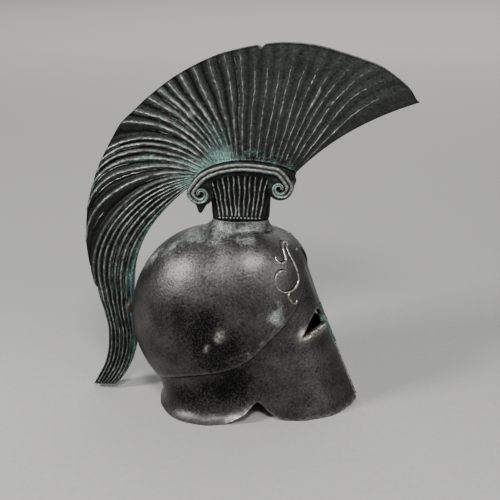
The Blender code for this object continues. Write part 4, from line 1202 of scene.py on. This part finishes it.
def buildBand(side):
    draft = Draft()
    path = bandPath()
    base = holder["yokeHalf"] + holder["gap"]
    sideSize, upSize = bands["waverSizes"]
    rings = []
    for index, (point, curl) in enumerate(path):
        run = path[min(index + 1, len(path) - 1)][0] - path[max(index - 1, 0)][0]
        across = Vector((-run.z, 0.0, run.x)).normalized()
        half = blend(bands["width"], bands["endWidth"], min(1.0, bands["taper"] * curl)) / 2
        height = blend(bands["height"], bands["endHeight"], curl)
        ring = []
        for place in spaced(-1.0, 1.0, bands["sections"]):
            rise = filletRise(place)
            spot = point + across * (place * half)
            spot.y = side * (base + rise * height)
            waver = Vector((0.0, side * rough(spot, sideSize, 10.0), rough(spot, upSize, 11.0)))
            spot += waver * bands["waver"]
            groove = bell(place, holderWear["grooveWidth"])
            groove += holderWear["borderDark"] * bell(abs(place) - 1.0, holderWear["borderWidth"])
            green = holderWear["curlGreen"] * smoothStep(*holderWear["curlGreenFrom"], curl)
            ring.append(draft.add(spot, worn=holderWear["bandWorn"] * rise ** 3, deep=groove,
                                  green=green + holderWear["bandGreen"] * groove))
        rings.append(ring)
    if side < 0:
        rings = [list(reversed(ring)) for ring in rings]
    draft.grid(rings, closed=True)
    draft.faces.append(tuple(rings[0]))
    draft.faces.append(tuple(reversed(rings[-1])))
    return draft

stemObject = makeObject("fluted crest stem", buildStem(), stemBronze)
placePiece(stemObject, "crest_holder")
yokeObject = makeObject("arched yoke", buildYoke(), stemBronze)
roundEdges(yokeObject, holder["yokeBevel"], holder["yokeBevelAngle"], holder["yokeBevelSteps"])
placePiece(yokeObject, None)
fluteObject = makeObject("stem flutes", buildFlutes())
growFromTree(fluteObject, ribTree, {"Rib radius": holder["fluteRadius"] * metresPerMm,
                                    "Rib sides": holder["fluteSides"], "Metal": stemBronze})
placePiece(fluteObject, None)
beadObject = makeObject("bead row", buildBeads())
growFromTree(beadObject, beadTree, {"Bead radius": holder["beadRadius"] * metresPerMm,
                                    "Least share": holder["beadLeast"], "Seed": holder["beadSeed"],
                                    "Metal": stemBronze})
placePiece(beadObject, None)
for side, sideName in ((1, "left"), (-1, "right")):
    band = makeObject(f"scroll band {sideName}", buildBand(side), bandBronze)
    placePiece(band, f"scroll_band_{sideName}")
print("crest holder made")

# Crest plume

plume = {
    "reach": 68.3, "rise": 57.5, "tailDrop": 90.9, "locks": 35, "waistLock": 28,
    "rootHalf": 2.7, "rimHalf": 1.5, "tailHalf": 3.1, "tipThinning": 0.62, "lockPull": 0.36,
    "perLock": 12, "fanRows": 54, "tailRows": 50, "edgeRound": 0.5, "edgeThinning": 0.30,
    "edgeReach": 0.22, "backLocks": (9.0, 17.0), "wander": 0.10, "wanderLocks": 0.8, "wanderAlong": 5.0,
    "grooveFront": 0.12, "grooveBack": 0.85, "grooveStart": (-0.05, 0.30), "fullSpacing": 1.6,
    "swellFront": 0.08, "swellBack": 0.28, "grainDepth": 0.12, "coarseGrain": 1.3, "fineGrain": 0.6,
    "fineShare": 0.6, "nickX": 8.5, "nickWidth": 0.8, "nickDepth": 1.1, "nickStart": 0.975,
}

plumeWear = {
    "ridgeGreen": (0.4, 1.0), "rootReach": 0.13, "rootGreen": 0.30, "rootDark": 0.5,
    "tailLocks": (26.0, 34.0), "innerGreen": 0.30, "innerGreenLocks": (33.5, 35.0),
    "innerDark": 0.5, "innerDarkLocks": (34.3, 35.0),
    "patchGreen": 0.30, "patchAlong": 0.40, "patchLock": 17.0, "patchLocks": 3.0, "grooveGreen": 0.16,
    "grooveDark": (0.2, 1.0), "betweenDark": 0.42, "ridgeWorn": (0.06, 0.34), "tip": (1.90, 2.0),
    "tipWorn": 0.25, "flawWorn": 0.3, "nickWorn": 0.9, "borderWorn": 0.25, "rimWorn": 0.35,
    "rimHeights": (20.0, 34.0), "borderDark": 0.4, "borderGreen": 0.06,
}

LockRow = namedtuple("LockRow", "lock root across up leave arrive half relief")
lockRows = [
    LockRow(0, 38.0, 1.000, 0.612, 45, 18, 1.00, 0.45),
    LockRow(1, 40.0, 0.950, 0.692, 44, 5, 1.00, 0.45),
    LockRow(2, 43.0, 0.866, 0.780, 49, 10, 1.00, 0.45),
    LockRow(3, 46.5, 0.779, 0.848, 56, 22, 1.00, 0.45),
    LockRow(4, 50.5, 0.678, 0.894, 61, 35, 1.00, 0.45),
    LockRow(5, 54.5, 0.580, 0.932, 65, 52, 1.00, 0.45),
    LockRow(6, 58.5, 0.489, 0.965, 69, 64, 1.00, 0.45),
    LockRow(7, 62.5, 0.411, 0.985, 72, 70, 1.00, 0.45),
    LockRow(8, 68.0, 0.322, 0.997, 76, 77, 1.00, 0.45),
    LockRow(9, 73.5, 0.244, 1.000, 80, 85, 1.00, 0.45),
    LockRow(10, 79.0, 0.163, 0.993, 84, 92, 1.00, 0.50),
    LockRow(13, 97.0, -0.086, 0.936, 95, 103, 1.00, 0.60),
    LockRow(16, 107.0, -0.350, 0.796, 104, 120, 1.00, 0.75),
    LockRow(19, 118.0, -0.538, 0.638, 112, 152, 1.05, 0.90),
    LockRow(20, 121.5, -0.624, 0.547, 118, 170, 1.10, 0.95),
    LockRow(21, 125.0, -0.702, 0.462, 124, 188, 1.15, 1.00),
    LockRow(22, 129.0, -0.805, 0.266, 130, 214, 1.20, 1.00),
    LockRow(23, 133.0, -0.843, 0.186, 137, 226, 1.25, 1.00),
    LockRow(25, 142.0, -0.912, -0.017, 153, 247, 1.35, 1.00),
    LockRow(26, 146.5, -0.946, -0.170, 161, 257, 1.45, 1.00),
    LockRow(27, 151.0, -0.967, -0.420, 169, 268, 1.65, 1.00),
    LockRow(28, 155.0, -0.930, -0.744, 178, 280, 1.85, 1.00),
    LockRow(31.5, 165.5, -0.818, -0.734, 199, 272, 2.07, 1.00),
    LockRow(35, 174.0, -0.694, -0.711, 220, 266, 2.07, 0.80),
]

TailRow = namedtuple("TailRow", "step outerAcross outerDown innerAcross innerDown")
tailRows = [
    TailRow(0, -0.921, 0.482, -0.702, 0.505),
    TailRow(1, -0.912, 0.530, -0.704, 0.560),
    TailRow(2, -0.887, 0.607, -0.706, 0.620),
    TailRow(3, -0.870, 0.695, -0.700, 0.692),
    TailRow(4, -0.877, 0.775, -0.703, 0.762),
    TailRow(5, -0.905, 0.864, -0.728, 0.842),
    TailRow(6, -0.958, 0.942, -0.766, 0.910),
    TailRow(7, -1.000, 0.996, -0.850, 0.993),
]

BrightRow = namedtuple("BrightRow", "lock worn green")
# how bright and how green each lock's raised edge is
brightRows = [
    BrightRow(0, 0.55, 0.05),
    BrightRow(3, 0.75, 0.05),
    BrightRow(8, 0.80, 0.08),
    BrightRow(12, 0.60, 0.10),
    BrightRow(16, 0.85, 0.22),
    BrightRow(20, 1.05, 0.26),
    BrightRow(22, 1.00, 0.22),
    BrightRow(24, 0.90, 0.30),
    BrightRow(25, 1.20, 0.50),
    BrightRow(26, 1.00, 0.28),
    BrightRow(30, 0.95, 0.20),
    BrightRow(35, 0.70, 0.30),
]

lockRoot, lockHalf = makeReader(lockRows, "root"), makeReader(lockRows, "half")
lockAcross, lockUp = makeReader(lockRows, "across", True), makeReader(lockRows, "up")
lockLeave, lockArrive = makeReader(lockRows, "leave"), makeReader(lockRows, "arrive")
outerAcross, outerDown = makeReader(tailRows, "outerAcross"), makeReader(tailRows, "outerDown")
innerAcross, innerDown = makeReader(tailRows, "innerAcross"), makeReader(tailRows, "innerDown")
lockWorn, lockGreen = makeReader(brightRows, "worn"), makeReader(brightRows, "green")

def heading(degrees):
    return Vector((math.cos(math.radians(degrees)), 0.0, math.sin(math.radians(degrees))))

@functools.lru_cache(maxsize=None)
def lockCurve(lock):
    root = archPoint(lockRoot(lock), holder["gap"])
    end = Vector((plume["reach"] * lockAcross(lock), 0.0,
                  holder["archSpring"] + plume["rise"] * lockUp(lock)))
    pull = plume["lockPull"] * (end - root).length
    return root, root + heading(lockLeave(lock)) * pull, end - heading(lockArrive(lock)) * pull, end

def lockPoint(lock, along):
    root, leave, arrive, end = lockCurve(lock)
    rest = 1.0 - along
    return (root * rest ** 3 + leave * 3 * rest ** 2 * along + arrive * 3 * rest * along ** 2
            + end * along ** 3)

def tailPoint(share, along):
    step = along * (len(tailRows) - 1)
    outer, inner = (Vector((plume["reach"] * across(step), 0.0,
                            holder["archSpring"] - plume["tailDrop"] * down(step)))
                    for across, down in ((outerAcross, outerDown), (innerAcross, innerDown)))
    if abs(inner.z - bowl["middle"]) < bowl["rise"]:
        back = bowlPoint(180.0, liftAtHeight(180.0, inner.z)).x
        inner.x = min(inner.x, back - holder["gap"])
    return outer.lerp(inner, share)

def sheetPlace(lock, along):
    # along runs from 0 at the arch to 1 at the fan's edge and on to 2 at the tail's tip
    if along <= 1.0:
        return lockPoint(lock, along)
    return tailPoint((lock - plume["waistLock"]) / (plume["locks"] - plume["waistLock"]), along - 1.0)

def sheetHalf(lock, along):
    if along <= 1.0:
        return blend(plume["rootHalf"], plume["rimHalf"] * lockHalf(lock), along)
    return plume["tailHalf"] * blend(1.0, plume["tipThinning"], (along - 1.0) ** 3)

FlawRow = namedtuple("FlawRow", "x z endX endZ radius proud")
# casting blob and raised scratch on the right face of the fan, in millimetres
flawRows = [
    FlawRow(-18.7, 122.4, -18.7, 122.4, 1.7, 1.5),
    FlawRow(27.4, 125.4, 30.9, 131.6, 0.60, 0.45),
    FlawRow(33.5, 126.0, 35.5, 127.4, 0.50, 0.35),
]

def flawRise(point, side):
    if side > 0:
        return 0.0
    rise, spot = 0.0, Vector((point.x, point.z))
    for row in flawRows:
        start, run = Vector((row.x, row.z)), Vector((row.endX - row.x, row.endZ - row.z))
        share = clamp((spot - start).dot(run) / max(run.length_squared, tiny))
        rise += row.proud * bell((spot - start - run * share).length, row.radius)
    return rise

WidthRow = namedtuple("WidthRow", "share least most")
# widths that grow with the room between two locks
ridgeWidth, grooveWidth = WidthRow(0.30, 0.05, 1.0), WidthRow(0.24, 0.04, 0.55)
strandWidth = WidthRow(0.32, 0.12, 1.0)

def widthAt(row, spacing):
    return min(row.most, row.share * spacing + row.least)

def backShare(lock):
    # 0 in the flat front of the fan and 1 in its deeply cut back
    return smoothStep(*plume["backLocks"], lock)

def lockWander(lock, along, side):
    place = (lock * plume["wanderLocks"], along * plume["wanderAlong"], side)
    return plume["wander"] * rough(place, 1.0, 12.0)

def lockSpacing(lock, along):
    return (sheetPlace(min(lock + 0.5, plume["locks"]), along)
            - sheetPlace(max(lock - 0.5, 0), along)).length

def sheetRecord(lock, along, side):
    # one point of the sheet's skin, then how worn, dark and green it is
    point, spacing, back = sheetPlace(lock, along), lockSpacing(lock, along), backShare(lock)
    fromLine = abs((lock + lockWander(lock, along, side) + 0.5) % 1.0 - 0.5)
    ridge = bell(fromLine * spacing, widthAt(ridgeWidth, spacing))
    groove = bell((0.5 - fromLine) * spacing, widthAt(grooveWidth, spacing))
    depth = blend(plume["grooveFront"], plume["grooveBack"], back) * smoothStep(*plume["grooveStart"], along)
    grain = rough(point, plume["coarseGrain"], 13.0 + side)
    grain += plume["fineShare"] * rough(point, plume["fineGrain"], 14.0)
    flaw = flawRise(point, side)
    half = sheetHalf(lock, along) + blend(plume["swellFront"], plume["swellBack"], back) * ridge
    half += plume["grainDepth"] * grain + flaw - depth * min(1.0, spacing / plume["fullSpacing"]) * groove
    outermost = plume["waistLock"] if along > 1.0 else 0
    edge = min(lock - outermost, plume["locks"] - lock)
    half *= 1 - plume["edgeThinning"] * bell(edge, plume["edgeReach"])
    root = bell(along, plumeWear["rootReach"])
    patch = bell(along, plumeWear["patchAlong"])
    patch *= bell(lock - plumeWear["patchLock"], plumeWear["patchLocks"])
    green = lockGreen(lock) * blend(*plumeWear["ridgeGreen"], ridge) + plumeWear["rootGreen"] * root
    tail = smoothStep(*plumeWear["tailLocks"], lock)
    green += plumeWear["innerGreen"] * tail * smoothStep(*plumeWear["innerGreenLocks"], lock)
    green += plumeWear["patchGreen"] * patch + plumeWear["grooveGreen"] * groove * back
    deep = groove * blend(*plumeWear["grooveDark"], back) + plumeWear["rootDark"] * root
    deep += plumeWear["innerDark"] * smoothStep(*plumeWear["innerDarkLocks"], lock)
    deep += plumeWear["betweenDark"] * back * (1.0 - ridge)
    worn = blend(*plumeWear["ridgeWorn"], back) * ridge * lockWorn(lock) + plumeWear["flawWorn"] * flaw
    worn += plumeWear["tipWorn"] * smoothStep(*plumeWear["tip"], along)
    if along <= 1.0:
        nick = bell(point.x - plume["nickX"], plume["nickWidth"]) * smoothStep(plume["nickStart"], 1.0, along)
        worn += plumeWear["nickWorn"] * nick
        point.z -= plume["nickDepth"] * nick
    return Vector((point.x, side * half, point.z)), worn, deep, green

def buildPlume():
    draft = Draft()
    columns = [index / plume["perLock"] for index in range(plume["perLock"] * plume["locks"] + 1)]
    tailColumns = columns[plume["perLock"] * plume["waistLock"]:]
    sides = {}
    for side in (-1, 1):
        fan, tail = ([[draft.add(*sheetRecord(lock, along, side)) for lock in locks] for along in run]
                     for locks, run in ((columns, spaced(0.0, 1.0, plume["fanRows"])),
                                        (tailColumns, spaced(1.0, 2.0, plume["tailRows"])[1:])))
        sides[side] = (fan, [fan[-1][-len(tailColumns):]] + tail)
    for side, parts in sides.items():
        for part in parts:
            draft.grid(part if side > 0 else [list(reversed(row)) for row in part])
    closeSheet(draft, sides)
    return draft

def sheetBorder(fan, tail):
    # all round the sheet: front edge, rim, outside of the tail, tip, inside of the tail and root
    front = [row[0] for row in fan[1:]]
    rim = fan[-1][1:len(fan[-1]) - len(tail[0]) + 1]
    outerTail = [row[0] for row in tail[1:]]
    innerTail = [row[-1] for row in reversed(tail[:-1])]
    inner = [row[-1] for row in reversed(fan[:-1])]
    return front + rim + outerTail + tail[-1][1:] + innerTail + inner + fan[0][-2::-1]

BorderRow = namedtuple("BorderRow", "across bulge")
borderRows = [BorderRow(0.55, 0.75), BorderRow(0.0, 1.0), BorderRow(-0.55, 0.75)]

def closeSheet(draft, sides):
    # rounds the sheet's border from one side over to the other
    near, far = sheetBorder(*sides[-1]), sheetBorder(*sides[1])
    rings = [near]
    rimLow, rimHigh = (holder["archSpring"] + height for height in plumeWear["rimHeights"])
    for row in borderRows:
        ring = []
        for index, (a, b) in enumerate(zip(near, far)):
            run = draft.points[near[(index + 2) % len(near)]] - draft.points[near[index - 2]]
            out = Vector((-run.z, 0.0, run.x)).normalized()
            point = (draft.points[a] + draft.points[b]) / 2 + out * plume["edgeRound"] * row.bulge
            point.y -= (draft.points[b].y - draft.points[a].y) / 2 * row.across
            rim = smoothStep(rimLow, rimHigh, point.z)
            worn, deep, green = (draft.marks[name][a] for name in (wearAndHighlightName, darkAndShadeName, greenName))
            ring.append(draft.add(point, worn + plumeWear["borderWorn"] + plumeWear["rimWorn"] * rim,
                                  plumeWear["borderDark"] * deep, green + plumeWear["borderGreen"]))
        rings.append(ring)
    rings.append(far)
    draft.grid(rings, closed=True)

strands = {
    "radius": 0.32, "sides": 6, "shift": 0.38, "firstBetween": 12, "steps": 64, "start": 0.02,
    "stop": 0.015, "sink": 0.12, "sway": 0.22, "swaySize": 1.6, "uneven": 0.7, "unevenSize": 1.3,
    "frontShare": 0.75, "backShare": 1.2, "rimThinning": 0.6, "rimStart": (0.55, 0.95),
    "endShare": 0.55, "endReach": 0.08, "betweenShare": 0.62, "betweenBreaks": (-0.15, 0.25),
    "breakLocks": 3.1, "breakAlong": 3.0, "thinnest": 0.02, "worn": 0.72, "wornPatches": 1.1,
    "wornPatchSize": 3.2, "green": 0.7, "greenPatchSize": 9.0,
}

def strandPlaces():
    # each lock's own edge, and thinner strands between them in the back half
    whole = [lock for lock in range(1, plume["locks"]) if lock != plume["waistLock"]]
    return whole + [lock + strands["shift"] for lock in range(strands["firstBetween"], plume["locks"] - 1)]

def strandThickness(lock, along, last, side, point):
    back = backShare(lock)
    thick = widthAt(strandWidth, lockSpacing(lock, along))
    thick *= 1 + strands["uneven"] * rough(point, strands["unevenSize"], 15.0)
    rimThin = 1.0 - strands["rimThinning"] * smoothStep(*strands["rimStart"], along)
    thick *= blend(strands["frontShare"], strands["backShare"], back) * blend(rimThin, 1.0, back)
    thick *= blend(strands["endShare"], 1.0, smoothStep(0.0, strands["endReach"], min(along, last - along)))
    if lock % 1.0 == 0.0:
        return thick
    place = (lock * strands["breakLocks"], along * strands["breakAlong"], side)
    unbroken = smoothStep(*strands["betweenBreaks"], rough(place, 1.0, 20.0))
    return max(thick * strands["betweenShare"] * unbroken, strands["thinnest"])

def buildRidges():
    # one line for each lock and strand on each side
    draft = Draft()
    for side in (-1, 1):
        for lock in strandPlaces():
            last = 2.0 if lock >= plume["waistLock"] else 1.0
            line = []
            for along in spaced(strands["start"], last - strands["stop"], int(strands["steps"] * last)):
                point = sheetRecord(lock - lockWander(lock, along, side), along, side)[0]
                point.y -= side * strands["sink"]
                point += Vector((rough(point, strands["swaySize"], 18.0), 0.0,
                                 rough(point, strands["swaySize"], 19.0))) * strands["sway"]
                patches = strands["wornPatches"] * rough(point, strands["wornPatchSize"], 16.0)
                crust = strands["green"] + rough(point, strands["greenPatchSize"], 17.0)
                line.append(draft.add(point, worn=lockWorn(lock) * (strands["worn"] + patches),
                                      green=lockGreen(lock) * crust,
                                      thick=strandThickness(lock, along, last, side, point)))
            draft.chain(line)
    return draft

lug = {"place": (-50.0, 0.0, 40.2), "half": (2.2, 3.5, 5.4), "rings": 28, "sides": 28, "lump": 0.35,
       "lumpSize": 2.2, "worn": 0.25, "wornAt": 0.5, "wornReach": 0.3, "dark": 0.4, "darkAt": 0.75,
       "darkReach": 0.2}

def buildLug():
    # brown lump of casting metal between the tail and the back of the bowl
    draft = Draft()
    centre, half = Vector(lug["place"]), Vector(lug["half"])
    rings = []
    for rise in spaced(0.0, math.pi, lug["rings"])[1:-1]:
        ring = []
        for angle in spaced(0.0, 2 * math.pi, lug["sides"])[:-1]:
            way = Vector((math.sin(rise) * math.cos(angle), math.sin(rise) * math.sin(angle), math.cos(rise)))
            point = centre + way * half
            point += way * (lug["lump"] * rough(point, lug["lumpSize"], 21.0))
            ring.append(draft.add(point, worn=lug["worn"] * bell(way.z - lug["wornAt"], lug["wornReach"]),
                                  deep=lug["dark"] * bell(way.z - lug["darkAt"], lug["darkReach"])))
        rings.append(ring)
    draft.grid([list(reversed(ring)) for ring in rings], closed=True)
    top, foot = (draft.add(centre + Vector((0.0, 0.0, sign * half.z))) for sign in (1, -1))
    draft.fan(rings[0], top)
    draft.fan(list(reversed(rings[-1])), foot)
    return draft

lugObject = makeObject("casting lug", buildLug(), lugBronze)
placePiece(lugObject, None)
plumeObject = makeObject("crest plume", buildPlume(), plumeBronze)
placePiece(plumeObject, "crest_plume")
ridgeObject = makeObject("plume ridges", buildRidges())
growFromTree(ridgeObject, ribTree, {"Rib radius": strands["radius"] * metresPerMm,
                                    "Rib sides": strands["sides"], "Metal": ridgeBronze})
placePiece(ridgeObject, None)
print("plume made", len(plumeObject.data.polygons), "faces")

# Floor, light and camera

studio = {
    "floorSize": 6000.0, "floorColour": (0.275, 0.272, 0.258, 1), "farLitColour": (0.60, 0.585, 0.545, 1),
    "farStart": 0.12, "farEnd": 1.05, "fibreTones": (0.3, 0.7), "fibreShade": 0.12, "paperRoughness": 0.9,
    "skyColour": (0.80, 0.82, 0.85, 1), "skyStrength": 0.42, "lampAim": 60.0, "nearestSeen": 0.01,
}

LightRow = namedtuple("LightRow", "name x y z size power")
lightRows = [
    LightRow("window left", -450, -270, 430, 130, 5.6),
    LightRow("window right", 70, -390, 470, 110, 3.6),
    LightRow("room fill", 560, -460, 330, 420, 3.0),
    LightRow("ceiling", 0, 1300, 1500, 2200, 26.0),
]

def buildFloor():
    draft = Draft()
    half = studio["floorSize"] / 2
    corners = [draft.add((x * half, y * half, 0.0)) for x, y in ((-1, -1), (1, -1), (1, 1), (-1, 1))]
    draft.faces.append(tuple(corners))
    material = bpy.data.materials.new("floor paper")
    material.use_nodes = True
    tree = material.node_tree
    shader = tree.nodes["Principled BSDF"]
    place = tree.nodes.new("ShaderNodeTexCoord").outputs["Object"]
    fibres = stretchNode(tree, noiseNode(tree, place, noises["paper"]), *studio["fibreTones"])
    # painted light: the paper gets lighter towards its far edge, standing in for the brighter light there
    apart = tree.nodes.new("ShaderNodeSeparateXYZ")
    tree.links.new(place, apart.inputs["Vector"])
    far = stretchNode(tree, apart.outputs["Y"], studio["farStart"], studio["farEnd"])
    paper = mixNode(tree, far, studio["floorColour"], studio["farLitColour"])
    dark = mixNode(tree, studio["fibreShade"], paper, (0.0, 0.0, 0.0, 1))
    tree.links.new(mixNode(tree, fibres, dark, paper), shader.inputs["Base Color"])
    shader.inputs["Roughness"].default_value = studio["paperRoughness"]
    floor = makeObject("floor", draft, material)

def buildLights():
    for row in lightRows:
        data = bpy.data.lights.new(row.name, "AREA")
        data.size = row.size * metresPerMm
        data.energy = row.power
        lamp = bpy.data.objects.new(row.name, data)
        lamp.location = Vector((row.x, row.y, row.z)) * metresPerMm
        aim = Vector((0.0, 0.0, studio["lampAim"])) * metresPerMm - lamp.location
        lamp.rotation_euler = aim.to_track_quat("-Z", "Y").to_euler()
        bpy.context.scene.collection.objects.link(lamp)
    world = bpy.data.worlds.new("soft room")
    world.use_nodes = True
    sky = world.node_tree.nodes["Background"]
    sky.inputs["Color"].default_value = studio["skyColour"]
    sky.inputs["Strength"].default_value = studio["skyStrength"]
    bpy.context.scene.world = world

view = {"azimuth": 8.0, "elevation": 20.0, "roll": -1.2, "fieldOfView": 30.0, "distance": 382.67,
        "target": (2.365, 0.0, 66.209)}

def placeCamera():
    azimuth, elevation, roll = (math.radians(view[name]) for name in ("azimuth", "elevation", "roll"))
    back = Vector((math.sin(azimuth) * math.cos(elevation), -math.cos(azimuth) * math.cos(elevation),
                   math.sin(elevation)))
    right = (-back).cross(Vector((0, 0, 1))).normalized()
    up = right.cross(-back)
    across = right * math.cos(roll) + up * math.sin(roll)
    upward = up * math.cos(roll) - right * math.sin(roll)
    place = (Vector(view["target"]) + back * view["distance"]) * metresPerMm
    data = bpy.data.cameras.new("photo view")
    data.sensor_fit = "HORIZONTAL"
    data.angle = math.radians(view["fieldOfView"])
    data.clip_start = studio["nearestSeen"]
    camera = bpy.data.objects.new("photo view", data)
    turned = Matrix((across, upward, back)).transposed().to_4x4()
    camera.matrix_world = Matrix.Translation(place) @ turned
    bpy.context.scene.collection.objects.link(camera)
    bpy.context.scene.camera = camera

buildFloor()
buildLights()
placeCamera()
print("studio made")
